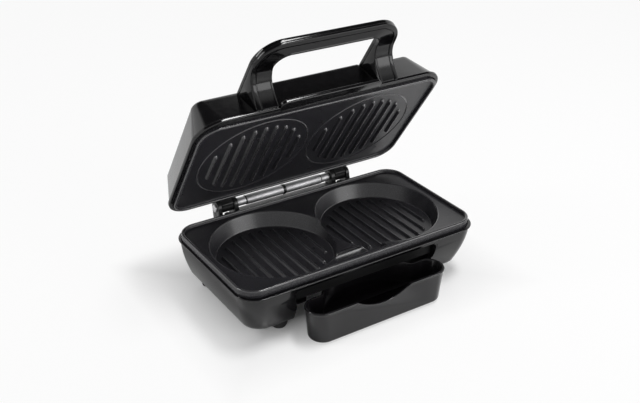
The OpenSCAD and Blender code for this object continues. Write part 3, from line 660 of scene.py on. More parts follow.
@dataclass
class BaseHousing:
    """The glossy lower housing with its front recess.

    Attributes:
        half_w: half its width at the flange.
        half_d: half its depth at the flange.
        corner: corner radius at the flange.
        flange: z of the flange's top.
        low: z of its lower edge.
        step: how far the wall stands in under the flange.
        taper_side: how far each side has drawn in at the lower edge.
        taper_front: the same for the front.
        bulge: how late the wall draws in, as a power of its height.
        corner_in: how much sharper the corners are at the lower edge.
        pan: half width, half depth and corner of the hollow under the plate.
        pan_low: z of that hollow's floor.
        ledge: the same three sizes of the ledge that the plate sits on.
        ledge_z: z of that ledge.
        bevel: width of the broken edges over the ledge and under the flange.
        soft: radius of the flange's upper edge.
        flange_t: height of the flange's edge down to its lower bevel.
        flange_low: height of the flange's edge with that bevel.
        wall_top: z where the wall starts.
        hem: radius of the wall's lower edge.
        hem_in: thickness of the wall at its lower edge.
        hem_up: how far the wall shows from below.
        notch_half: half the width of the slot over the tray.
        slot_face: y where the slot's rounded ends start.
        slot_back: y of the slot's back.
        slot_round: radius of the slot's rounded ends.
        slot_top: z of the slot's upper edge.
        slot_deep: how far the slot reaches under the bay's roof.
        slot_corner: corner radius of the slot.
        bay_half: half the width of the tray's bay.
        bay_roof: z of the bay's roof.
        bay_back: y of the bay's straight back.
        trough: half length, y and end radius of the trough's room.
        lobe: y of the centre, radius and front limit of the lobe's room.
        ahead: y in front of the part, where cuts start.
        below: z under the part, where cuts start.
    """

    half_w: float = 124.75
    half_d: float = 69.25
    corner: float = 20.0
    flange: float = -3.4
    low: float = -41.8
    step: float = 1.7
    taper_side: float = 11.5
    taper_front: float = 11.0
    bulge: float = 1.7
    corner_in: float = 2.4
    pan: Point3 = (118.0, 58.9, 12.0)
    pan_low: float = -20.0
    ledge: Point3 = (123.5, 65.5, 18.5)
    ledge_z: float = -5.8
    bevel: float = 0.3
    soft: float = 0.6
    flange_t: float = 1.0
    flange_low: float = 1.35
    wall_top: float = -4.85
    hem: float = 1.0
    hem_in: float = 2.4
    hem_up: float = 2.2
    notch_half: float = 77.5
    slot_face: float = -66.5
    slot_back: float = -60.4
    slot_round: float = 3.5
    slot_top: float = -8.0
    slot_deep: float = 4.0
    slot_corner: float = 6.0
    bay_half: float = 72.7
    bay_roof: float = -21.7
    bay_back: float = -56.0
    trough: Point3 = (58.4, -55.95, 14.3)
    lobe: Point3 = (-74.0, 59.0, -56.5)
    ahead: float = -80.0
    below: float = -60.0

    def wall(self, t: float, gap: float = 0.0) -> list[Point2]:
        """Outline of the wall at a height.

        Args:
            t: 0 at the flange's top, 1 at the lower edge.
            gap: how far the outline is drawn in.

        Returns:
            The outline.
        """
        grow = t ** self.bulge
        side = self.step + (self.taper_side - self.step) * grow + gap
        front = self.step + (self.taper_front - self.step) * grow + gap
        back = self.step + gap
        corner = self.corner - self.step - self.corner_in * t - gap * 0.8
        return rounded_outline(self.half_w - side, -self.half_d + front, self.half_d - back, corner,
                               BASE_CORNER)

    def rings(self) -> list[Ring]:
        """Rings from the hollow under the plate over the flange and down the wall.

        Returns:
            The rings, in order.
        """
        def plain(size: Point3, grow: float, z: float) -> Ring:
            """A level rounded rectangle of that size, grown all round."""
            w, d, r = (v + grow for v in size)
            return level(rounded_outline(w, -d, d, r, BASE_CORNER), z)

        f = self.flange
        rim = (self.half_w, self.half_d, self.corner)
        rings = [plain(self.pan, 0.0, self.pan_low), plain(self.pan, 0.0, self.ledge_z - 0.1),
                 plain(self.ledge, 0.0, self.ledge_z), plain(self.ledge, 0.0, f - self.bevel),
                 plain(self.ledge, self.bevel, f)]
        for turn in range(0, 91, 18):
            a = math.radians(turn)
            rings.append(plain(rim, -self.soft + self.soft * math.sin(a),
                               f - self.soft + self.soft * math.cos(a)))
        rings += [plain(rim, 0.0, f - self.flange_t), plain(rim, -self.bevel, f - self.flange_low),
                  level(self.wall(0.0), self.wall_top)]
        count = 14
        for i in range(1, count + 1):
            z = self.wall_top + (self.low + self.hem - self.wall_top) * (i / count)
            rings.append(level(self.wall((f - z) / (f - self.low)), z))
        for turn in (30, 60, 90):
            a = math.radians(turn)
            rings.append(level(self.wall(1.0, self.hem - self.hem * math.cos(a)),
                               self.low + self.hem - self.hem * math.sin(a)))
        inner = self.wall(1.0, self.hem_in)
        return rings + [level(inner, self.low), level(inner, self.low + self.hem_up)]

    def build(self) -> bpy.types.Object:
        """Builds the housing.

        Returns:
            The finished piece.
        """
        obj = Solid("base_housing").loft(self.rings()).object()
        for tool in self.recess():
            carve(obj, tool)
        inside = faces_where(obj, self.in_recess)
        finish_piece(obj, Finishes.HOUSING, Body.BASE, ["base_shell"])
        refinish(obj, inside, Finishes.INSIDE)
        return obj

    def in_recess(self, c: Vector, n: Vector) -> bool:
        """Whether a face lies in the slot or the bay.

        Args:
            c: the face's centre in the drawing.
            n: its normal.

        Returns:
            True for the dull faces.
        """
        across = abs(c.x) < self.notch_half - 2.0 and self.slot_face + 2.5 < c.y < 0.0
        high = self.low + 0.5 < c.z < self.slot_top + 0.2
        return across and high and (n.z < 0.5 or c.z < self.bay_roof + 0.5)

    def recess(self) -> list[Solid]:
        """The tools that cut the bay for the tray and the slot over it.

        Returns:
            The tools.
        """
        lobe_y, lobe_r, lobe_front = self.lobe
        lobe = [p for p in arc(0, lobe_y, lobe_r, -20, 200, 64) if p[1] > lobe_front]
        mouth = [(-self.bay_half, self.ahead), (self.bay_half, self.ahead),
                 (self.bay_half, self.bay_back), (-self.bay_half, self.bay_back)]
        bend = [self.slot_face + self.slot_round * (1 - math.cos(math.radians(a)))
                for a in range(15, 91, 15)]
        slot = []
        for y in [self.ahead, self.slot_face] + bend + [self.slot_back]:
            inside = min(max(y - self.slot_face, 0.0), self.slot_round)
            away = self.slot_round - inside
            half = self.notch_half - math.sqrt(max(self.slot_round ** 2 - away ** 2, 0.0))
            outline = rounded_outline(half, self.bay_roof - self.slot_deep, self.slot_top,
                                      self.slot_corner - 0.8 * inside, 8)
            slot.append([(x, y, z) for x, z in outline])
        # The roofs differ a little, so that no two tools share a face.
        return [Solid("trough").prism(stadium(*self.trough), self.below, self.bay_roof),
                Solid("mouth").prism(mouth, self.below, self.bay_roof + 0.04),
                Solid("lobe").prism(lobe, self.below, self.bay_roof + 0.08),
                Solid("slot").loft(slot)]


@dataclass
class GrillPlates:
    """The two cast plates with their raised lips, wells and ribs.

    Attributes:
        half_w: half their width.
        half_d: half their depth.
        corner: corner radius.
        lip: height of the lip over the field.
        lip_t: thickness of the lip.
        round_r: radius of the lip's crest.
        fillet: radius between lip and field.
        seat: z of the lower plate's seat on the base.
        tub: half width, front, back and corner of the casting under the seat.
        tub_low: z of its underside.
        well_x: distance of each well from the middle.
        well_r: radius of a well at the field.
        floor_r: radius of its floor.
        depth: depth of a well.
        pitch: distance between two ribs.
        rib_count: ribs in each well.
        rib_h: height of the lower plate's ribs.
        rib_circle: radius that cuts the lower ribs off.
        soft: rounding of the edges of the wells and the drain.
        inner: the x and y inside which, and the z above which, edges are rounded.
        drain_half: half the width of the drain.
        hole: y and radius of the drain's hole.
        upper_back: z of the upper plate's back.
        ring_r: radius of the upper plate's ring beads.
        upper_rib_h: height of the upper plate's ribs.
        upper_circle: radius that cuts the upper ribs off.
    """

    half_w: float = 123.0
    half_d: float = 65.0
    corner: float = 18.0
    lip: float = 2.85
    lip_t: float = 2.8
    round_r: float = 1.1
    fillet: float = 0.9
    seat: float = -5.8
    tub: tuple = (117.4, -58.3, 58.9, 11.5)
    tub_low: float = -16.9
    well_x: float = 56.0
    well_r: float = 58.0
    floor_r: float = 53.0
    depth: float = 14.3
    pitch: float = 10.4
    rib_count: int = 9
    rib_h: float = 2.1
    rib_circle: float = 47.0
    soft: float = 0.9
    inner: Point3 = (119.0, 61.0, -15.5)
    drain_half: float = 26.0
    hole: Point2 = (-50.0, 4.0)
    upper_back: float = 11.95
    ring_r: float = 53.5
    upper_rib_h: float = 2.4
    upper_circle: float = 45.5

    # Half of a rib's section, as half width and share of its height.
    SECTION: tuple = ((2.1, -0.05), (1.75, 0.12), (1.25, 0.5), (0.8, 0.85), (0.42, 0.97), (0.0, 1.0))
    # How a rib's end rises, as distance from its tip and share of its height.
    RISE: tuple = ((0.0, 0.03), (0.35, 0.25), (1.3, 0.8), (2.0, 0.97), (3.2, 1.0))
    # The drain's cut from the island's back down the slope to the spout, as y and z.
    DRAIN: tuple = ((-1.0, 9.0), (-1.0, -5.2), (-5.0, -7.2), (-8.0, -7.6), (-35.2, -7.6), (-36.6, -8.3),
                    (-39.4, -13.6), (-40.4, -14.2), (-56.0, -14.2), (-56.0, 9.0))
    # A ring bead's section, as distance from its middle and from the field.
    BEAD: tuple = ((-0.9, 0.1), (-0.5, -0.3), (0.0, -0.5), (0.5, -0.3), (0.9, 0.1), (0.0, 0.6))
    # Side, first angle and extra depth of each well's cutter. The second is turned and sunk a
    # little, since the cuts stay open where both wells share their points.
    WELLS: tuple = ((-1, 0.0, 0.0), (1, 0.9, 0.013))

    def outline(self, inset: float) -> list[Point2]:
        """The plate's outline, drawn in by inset."""
        return rounded_outline(self.half_w - inset, -self.half_d + inset, self.half_d - inset,
                               self.corner - inset, BASE_CORNER)

    def lip_rings(self, base: float, sign: float) -> list[Ring]:
        """Rings over the lip, from its outer foot to the field's edge.

        Args:
            base: z of the field.
            sign: 1 where the lip stands up, -1 where it hangs down.

        Returns:
            The rings, from outside to inside.
        """
        crest = base + sign * self.lip
        r = self.round_r
        f = self.fillet
        rings = []
        for turn in range(0, 91, 15):
            a = math.radians(turn)
            rings.append(level(self.outline(r - r * math.cos(a)), crest - sign * (r - r * math.sin(a))))
        for turn in range(90, 181, 15):
            a = math.radians(turn)
            rings.append(level(self.outline(self.lip_t - r - r * math.cos(a)),
                               crest - sign * (r - r * math.sin(a))))
        for turn in range(0, 91, 18):
            a = math.radians(turn)
            rings.append(level(self.outline(self.lip_t + f - f * math.cos(a)),
                               base + sign * (f - f * math.sin(a))))
        return rings

    def rib(self, x: float, length: float, base: float, sign: float, height: float) -> Solid:
        """One rib with a rounded crest and sloped ends.

        Args:
            x: its middle line.
            length: its whole length.
            base: z of the surface that it stands on.
            sign: 1 where it stands up, -1 where it hangs down.
            height: how far it stands proud.

        Returns:
            The rib.
        """
        shape = list(self.SECTION) + [(-w, h) for w, h in reversed(self.SECTION[:-1])]
        half = length / 2
        ends = [(-half + off, share) for off, share in self.RISE]
        ends += [(half - off, share) for off, share in reversed(self.RISE)]
        rings = []
        for y, share in ends:
            # The tips are narrower than the middle.
            wide = 0.35 + 0.65 * min(1.0, share * 1.4)
            rings.append([(x + w * wide, y, base + sign * height * (h * share if h > 0 else h))
                          for w, h in shape])
        return Solid("rib").loft(rings)

    def ribs(self, reach: float, base: float, sign: float, height: float) -> Solid:
        """All the ribs of one plate.

        Args:
            reach: radius of the circle that cuts them off.
            base: z of the surface that they stand on.
            sign: 1 where they stand up, -1 where they hang down.
            height: how far they stand proud.

        Returns:
            The ribs.
        """
        group = Solid("ribs")
        for side in (-1, 1):
            for i in range(self.rib_count):
                dx = (i - self.rib_count // 2) * self.pitch
                length = 2 * math.sqrt(reach ** 2 - dx ** 2)
                group.add(self.rib(side * self.well_x + dx, length, base, sign, height))
        return group

    def lower(self) -> bpy.types.Object:
        """Builds the lower plate with its wells and drain.

        Returns:
            The finished piece.
        """
        w, front, back, corner = self.tub
        tub = rounded_outline(w, front, back, corner, BASE_CORNER)
        rings = [level(tub, self.tub_low), level(tub, self.seat), level(self.outline(0.0), self.seat)]
        obj = Solid("lower_plate").loft(rings + self.lip_rings(0.0, 1.0)).object()
        slope = (self.well_r - self.floor_r) / self.depth
        over = 8.0
        for side, turn, deeper in self.WELLS:
            cone = []
            for z in (-self.depth - deeper, over):
                r = self.floor_r + slope * (z + self.depth)
                cone.append(level(circle(side * self.well_x, 0, r, 144, turn), z))
            carve(obj, Solid("well").loft(cone))
        carve(obj, Solid("drain").side_prism(self.DRAIN, -self.drain_half, self.drain_half))
        carve(obj, Solid("hole").prism(circle(0, self.hole[0], self.hole[1], 32), -25, -8))
        far_x, far_y, under = self.inner
        ease_edges(obj, self.soft, 24.0, 3,
                   lambda p: abs(p.x) < far_x and abs(p.y) < far_y and p.z > under)
        mesh_in(obj, self.ribs(self.rib_circle, -self.depth, 1.0, self.rib_h))
        # These faces get the painted highlight of the lighter plate finish.
        bright = faces_where(obj, self.lower_bright)
        finish_piece(obj, Finishes.PLATE, Body.BASE, ["lower_grill_plate"])
        refinish(obj, bright, Finishes.PLATE_HIGHLIGHT)
        return obj

    def lower_bright(self, c: Vector, n: Vector) -> bool:
        """Whether a face of the lower plate gets the painted highlight.

        Args:
            c: the face's centre in the drawing.
            n: its normal.

        Returns:
            True on the lip's crest, the ribs' crests and ends, the rims and feet of the wells, and
            the drain's slope.
        """
        rib_top = -self.depth + self.rib_h
        from_floor = abs(math.hypot(abs(c.x) - self.well_x, c.y) - self.floor_r)
        return (c.z > self.lip - self.round_r - 0.1
                or abs(c.z - rib_top + 0.05) < 0.12
                or (-0.88 < c.z < -0.02 and abs(c.x) < 115)
                or (0.04 < c.z + self.depth < 0.85 and 0.25 < n.z < 0.97 and from_floor < 1.2)
                or (abs(c.x) < 20 and -39.8 < c.y < -35.0 and -14.1 < c.z < -7.4)
                or (abs(c.x) < 108 and -14.2 < c.z < -12.1 and self.rib_end(n)))

    def upper(self) -> bpy.types.Object:
        """Builds the lid's plate.

        Returns:
            The finished piece.
        """
        field_z = self.field_z
        rings = [level(self.outline(3.0), self.upper_back), level(self.outline(0.0), self.upper_back)]
        plate = Solid("upper_plate").loft(rings + self.lip_rings(field_z, -1.0))
        turns = [2 * math.pi * i / 120 for i in range(120)]
        for side in (-1, 1):
            loop = [[(side * self.well_x + (self.ring_r + off) * math.cos(a),
                      (self.ring_r + off) * math.sin(a), field_z + z) for off, z in self.BEAD]
                    for a in turns]
            plate.add(Solid("bead").loft(loop, loop=True))
        plate.add(self.ribs(self.upper_circle, field_z, -1.0, self.upper_rib_h))
        obj = plate.object()
        # These faces get the painted highlight of the lighter plate finish.
        bright = faces_where(obj, self.upper_bright)
        finish_piece(obj, Finishes.PLATE, Body.LID, ["upper_grill_plate"])
        refinish(obj, bright, Finishes.PLATE_HIGHLIGHT)
        return obj

    @property
    def field_z(self) -> float:
        """The z of the upper plate's field, where both lips meet."""
        return 2 * self.lip

    def upper_bright(self, c: Vector, n: Vector) -> bool:
        """Whether a face of the upper plate gets the painted highlight.

        Args:
            c: the face's centre in the drawing.
            n: its normal.

        Returns:
            True on the lip's crest, the ring beads and the ribs' ends.
        """
        proud = c.z < self.field_z - 0.1
        on_ring = abs(math.hypot(abs(c.x) - self.well_x, c.y) - self.ring_r) < 0.9
        return (c.z < self.lip + self.round_r + 0.1
                or (proud and (on_ring or (abs(c.y) < 48 and self.rib_end(n)))))

    @staticmethod
    def rib_end(n: Vector) -> bool:
        """Whether a face with that normal looks to the front, as a rib's end does."""
        return n.y < -0.3 and abs(n.x) < 0.7


def mesh_in(obj: bpy.types.Object, extra: Solid) -> bpy.types.Object:
    """Adds a solid's faces to an object's mesh, as a body of their own."""
    bmesh.ops.recalc_face_normals(extra.bm, faces=extra.bm.faces)
    part = bpy.data.meshes.new("part")
    extra.bm.to_mesh(part)
    extra.bm.free()
    bm = bmesh.new()
    bm.from_mesh(obj.data)
    bm.from_mesh(part)
    bm.to_mesh(obj.data)
    bm.free()
    bpy.data.meshes.remove(part)
    return obj


@dataclass
class GreaseTray:
    """The drip tray: a long trough with a lobe that reaches under the drain.

    Attributes:
        half: half its length.
        front: y of its front.
        r: radius of its ends.
        rim: z of its rim.
        low: z of its underside.
        wall: thickness of its walls.
        draw: how much shorter each end is at the underside.
        lean: how much the ends' radius shrinks down to there.
        foot_r: radius round the underside.
        inner_r: radius round the trough's floor.
        lobe_y: y of the lobe's centre.
        lobe_r: radius of the lobe.
        lobe_low: z of the lobe's underside.
        lobe_cut: y where the lobe is cut straight, and the same for its hollow.
        pocket_r: radius of the lobe's hollow.
        pocket_low: z of its floor.
        dip_x: middle of the hand dip in the front wall.
        dip_r: radius of the dip.
        dip_deep: depth of the dip.
        soft: rounding of the sharp edges.
        nubs: x and y, from the trough's middle, of the nubs that it stands on.
    """

    half: float = 71.7
    front: float = -91.3
    r: float = 13.3
    rim: float = -22.0
    low: float = -53.5
    wall: float = 1.9
    draw: float = 3.4
    lean: float = 0.5
    foot_r: float = 2.5
    inner_r: float = 2.0
    lobe_y: float = -96.0
    lobe_r: float = 58.0
    lobe_low: float = -44.9
    lobe_cut: Point2 = (-75.0, -77.0)
    pocket_r: float = 56.1
    pocket_low: float = -43.0
    dip_x: float = -1.0
    dip_r: float = 47.5
    dip_deep: float = 9.5
    soft: float = 0.45
    nubs: Point2 = (54.0, 7.0)

    # The rim's bead, as depth under the rim and how far it stands out.
    BEAD: tuple = ((2.6, 0.0), (2.3, 0.35), (1.9, 0.6), (0.7, 0.7), (0.2, 0.5), (0.0, 0.1))
    # Heights of the rings between foot and rim, outside and inside.
    OUTER: tuple = (-44, -36, -28)
    INNER: tuple = (-40, -30)
    # A nub's profile, as radius and z.
    NUB: tuple = ((0, -54.5), (1.6, -54.5), (2.3, -54.1), (2.5, -53.4), (2.5, -52.5), (0, -52.5))

    def ring(self, z: float, gap: float) -> Ring:
        """Outline of the trough at a height.

        Args:
            z: the height.
            gap: how far the outline is drawn in.

        Returns:
            The outline.
        """
        t = (self.rim - z) / (self.rim - self.low)
        lean = self.lean * t
        half = self.half - self.draw * t - self.r + lean
        return level(stadium(half, self.front + self.r + lean, self.r - gap - lean, 24), z)

    def rounded_foot(self, z: float, r: float, gap: float, step: int) -> list[Ring]:
        """Rings round a floor's edge, from the flat outwards.

        Args:
            z: the floor.
            r: radius of the edge.
            gap: how far the wall above is drawn in.
            step: degrees between two rings.

        Returns:
            The rings.
        """
        turns = [math.radians(a) for a in range(90, -1, -step)]
        return [self.ring(z + r - r * math.sin(a), gap + r - r * math.cos(a)) for a in turns]

    def lobe(self, r: float, front: float) -> list[Point2]:
        """Outline of the lobe at radius r, cut straight at y front."""
        return [p for p in arc(0, self.lobe_y, r, -10, 190, 72) if p[1] > front]

    def build(self) -> bpy.types.Object:
        """Builds the tray.

        Returns:
            The finished piece.
        """
        rim = self.rim
        wall = self.wall
        over = rim + 4
        foot = self.rounded_foot(self.low, self.foot_r, 0.0, 15)
        bead = [self.ring(rim - z, -out) for z, out in self.BEAD]
        side = [self.ring(z, 0) for z in self.OUTER]
        cut, hollow_cut = self.lobe_cut
        obj = Solid("grease_tray").loft(foot + side + bead).object()
        carve(obj, Solid("lobe").prism(self.lobe(self.lobe_r, cut), self.lobe_low, rim - 0.02), Cut.JOIN)
        inner = self.rounded_foot(self.low + wall, self.inner_r, wall, 18)
        inner += [self.ring(z, wall) for z in (*self.INNER, rim + 0.01)]
        inner.append([(x, y, over) for x, y, _ in self.ring(rim, wall)])
        carve(obj, Solid("inside").loft(inner))
        carve(obj, Solid("pocket").prism(self.lobe(self.pocket_r, hollow_cut), self.pocket_low, over))
        dip = arc(0, 0, self.dip_r, 205, 335, 48)
        top = rim - self.dip_deep + self.dip_r
        carve(obj, Solid("dip").loft([[(self.dip_x + x, y, z + top) for x, z in dip]
                                      for y in (self.front - 6, self.front + 7)]))
        ease_edges(obj, self.soft, 38.0, 2)
        nub_x, nub_y = self.nubs
        middle = self.front + self.r
        for x in (-nub_x, nub_x):
            for y in (-nub_y, nub_y):
                mesh_in(obj, Solid("nub").lathe(self.NUB, Axis.Z, (x, middle + y, 0), 20))
        return finish_piece(obj, Finishes.TRAY, Body.TRAY, ["drip_tray"])


@dataclass
class Feet:
    """Rubber feet in front and stubs at the back.

    Attributes:
        front: x and y of the front feet.
        back: x and y of the rear feet.
        top: z where they leave the base.
        floor: z of the table.
        dome_r: radius of a front foot.
        straight: share of a front foot's height that is straight.
    """

    front: Point2 = (79.0, -44.0)
    back: Point2 = (104.0, 46.0)
    top: float = -41.8
    floor: float = -54.5
    dome_r: float = 8.0
    straight: float = 0.4

    # A rear foot's profile, as radius and share of its height.
    STUB: tuple = ((0, 0), (4.5, 0), (4.2, 0.2), (3.0, 0.8), (2.7, 0.92), (1.8, 1), (0, 1))

    def dome(self) -> list[Point2]:
        """A front foot's profile, from its root down to its flat.

        Returns:
            Pairs of radius and height.
        """
        h = self.top - self.floor
        flat = self.dome_r / 2
        start = -h * self.straight
        profile = [(0, 0), (self.dome_r, 0), (self.dome_r, start)]
        for turn in range(15, 90, 12):
            a = math.radians(turn)
            profile.append((flat + flat * math.cos(a) ** 0.8, start - h * (1 - self.straight) * math.sin(a)))
        return profile + [(flat, -h), (0, -h)]

    def build(self) -> list[bpy.types.Object]:
        """Builds both pairs.

        Returns:
            The finished pieces.
        """
        h = self.top - self.floor
        stub = [(r, -h * share) for r, share in self.STUB]
        pairs = (("front_foot_pair", self.front, self.dome(), Finishes.RUBBER, "front_feet"),
                 ("rear_foot_pair", self.back, stub, Finishes.BLACK, "rear_feet"))
        made = []
        for name, (x, y), profile, finish, node in pairs:
            pair = Solid(name)
            for side in (-1, 1):
                pair.add(Solid("foot").lathe(profile, Axis.Z, (side * x, y, self.top), 40))
            made.append(finish_piece(pair.object(), finish, Body.BASE, [node]))
        return made


# Lid


@dataclass
class LidHousing:
    """The glossy lid housing with the pushed-out panel between the handle's legs.

    Attributes:
        half_w: half its width where the wall starts.
        half_d: half its depth there.
        corner: corner radius there.
        foot: z where the wall starts.
        top: z of its top face.
        draw_side: how far each side has drawn in at the top.
        draw_front: the same for the front.
        draw_back: the same for the back.
        draw_corner: the same for the corner radius.
        soft: radius of the top's edge.
        top_in: how far the last ring on the top is drawn in.
        push: how far the panel stands out at the top.
        push_half: half the width of the panel at its foot.
        push_blend: width of the slope at each side of the panel.
        rim: half width, half depth and corner of the rim band.
        rim_low: z of the rim band's lower edge.
        rim_high: z where the rim band's upper rounding starts.
        rim_soft: radius of the rim band's lower edge.
        rim_round: how far its upper rounding draws in along x and y, and how high it is.
        rim_tight: how much less the corner radius is on that rounding.
        ledge: the same three sizes of the edge that the plate sits in.
        ledge_top: z of the hollow behind the plate.
        ledge_bevel: width and height of the broken edge round the ledge.
        lip_half: half the width of the thumb lip.
        lip_front: y of its front.
        lip_root: y of its root in the rim band.
        lip_low: z of its underside.
        lip_r: its corner radius.
        lip_soft: radius of its edges.
    """

    half_w: float = 126.0
    half_d: float = 69.6
    corner: float = 24.0
    foot: float = 8.7
    top: float = 40.8
    draw_side: float = 14.0
    draw_front: float = 15.7
    draw_back: float = 4.6
    draw_corner: float = 16.0
    soft: float = 2.4
    top_in: float = 6.0
    push: float = 4.0
    push_half: float = 55.0
    push_blend: float = 4.0
    rim: Point3 = (127.0, 71.0, 25.0)
    rim_low: float = 5.7
    rim_high: float = 8.0
    rim_soft: float = 0.8
    rim_round: Point3 = (0.5, 0.6, 0.7)
    rim_tight: float = 0.4
    ledge: Point3 = (123.5, 65.5, 18.5)
    ledge_top: float = 12.0
    ledge_bevel: Point2 = (0.3, 0.4)
    lip_half: float = 51.5
    lip_front: float = -78.0
    lip_root: float = -65.5
    lip_low: float = 5.0
    lip_r: float = 5.5
    lip_soft: float = 0.9

    # Points on the front edge, close together where the panel starts.
    STATIONS: tuple = (-70, -60, -56, -54, -53, -52, -51, -50, -48, -40, -20, 0,
                       20, 40, 48, 50, 51, 52, 53, 54, 56, 60, 70)
    # Heights of the wall's rings between its foot and its shoulder.
    WALL: tuple = (12, 17, 22, 27, 32, 36)

    def ring(self, z: float, gap: float = 0.0) -> Ring:
        """Outline of the wall at a height, with the panel between the legs.

        Args:
            z: the height.
            gap: how far the outline is drawn in.

        Returns:
            The outline.
        """
        t = (z - self.foot) / (self.top - self.foot)
        front = -self.half_d + self.draw_front * t + gap
        corner = max(self.corner - self.draw_corner * t - gap * 0.7, 2.0)
        outline = rounded_outline(self.half_w - self.draw_side * t - gap, front,
                                  self.half_d - self.draw_back * t - gap, corner, LID_CORNER,
                                  self.STATIONS)
        moved = []
        for x, y in outline:
            if y < front + 0.01 and abs(x) < self.push_half + 1:
                share = min(1.0, max(0.0, (self.push_half - abs(x)) / self.push_blend))
                y -= self.push * max(t, 0.0) * share * share * (3 - 2 * share)
            moved.append((x, y, z))
        return moved

    def framed(self, size: Sequence[float], z: float) -> Ring:
        """A level rounded rectangle with as many points as the wall's rings.

        Args:
            size: half width, half depth and corner radius.
            z: its height.

        Returns:
            The ring.
        """
        w, d, r = size
        last = len(self.STATIONS) - 1
        edge = self.STATIONS[-1]
        xs = [-edge + 2 * edge * i / last for i in range(last + 1)]
        return level(rounded_outline(w, -d, d, r, LID_CORNER, xs), z)

    def build(self) -> bpy.types.Object:
        """Builds the lid housing.

        Returns:
            The finished piece.
        """
        w, d, r = self.rim
        wide, high = self.ledge_bevel
        rings = [self.framed(self.ledge, self.ledge_top), self.framed(self.ledge, self.rim_low + high),
                 self.framed([v + wide for v in self.ledge], self.rim_low)]
        soft = self.rim_soft
        for turn in (0, 30, 60, 90):
            a = math.radians(turn)
            out = -soft + soft * math.sin(a)
            rings.append(self.framed((w + out, d + out, r + out), self.rim_low + soft - soft * math.cos(a)))
        rings.append(self.framed(self.rim, self.rim_high - 0.1))
        in_x, in_y, up = self.rim_round
        for turn in (30, 60, 90):
            a = math.radians(turn)
            size = (w - in_x + in_x * math.cos(a), d - in_y + in_y * math.cos(a), r - self.rim_tight)
            rings.append(self.framed(size, self.rim_high + up * math.sin(a)))
        shoulder = self.top - self.soft
        rings += [self.ring(z) for z in (self.foot + 0.02, *self.WALL, shoulder)]
        for turn in range(15, 91, 15):
            a = math.radians(turn)
            rings.append(self.ring(shoulder + self.soft * math.sin(a), self.soft * (1 - math.cos(a))))
        rings.append(self.ring(self.top, self.top_in))
        obj = mesh_in(Solid("lid_housing").loft(rings).object(), self.thumb_lip())
        return finish_piece(obj, Finishes.HOUSING, Body.LID, ["lid_shell"])

    def thumb_lip(self) -> Solid:
        """The lip under the handle's arch that a thumb presses on.

        Returns:
            The lip.
        """
        rings = []
        for turn in range(0, 91, 15):
            a = math.radians(turn)
            gap = self.lip_soft * (1 - math.sin(a))
            rings.append((gap, self.lip_low + self.lip_soft * (1 - math.cos(a))))
        rings += [(gap, self.foot - z + self.lip_low) for gap, z in reversed(rings)]
        return Solid("thumb_lip").loft(
            [level(rounded_outline(self.lip_half - gap, self.lip_front + gap, self.lip_root,
                                   self.lip_r - gap, 10), z) for gap, z in rings])


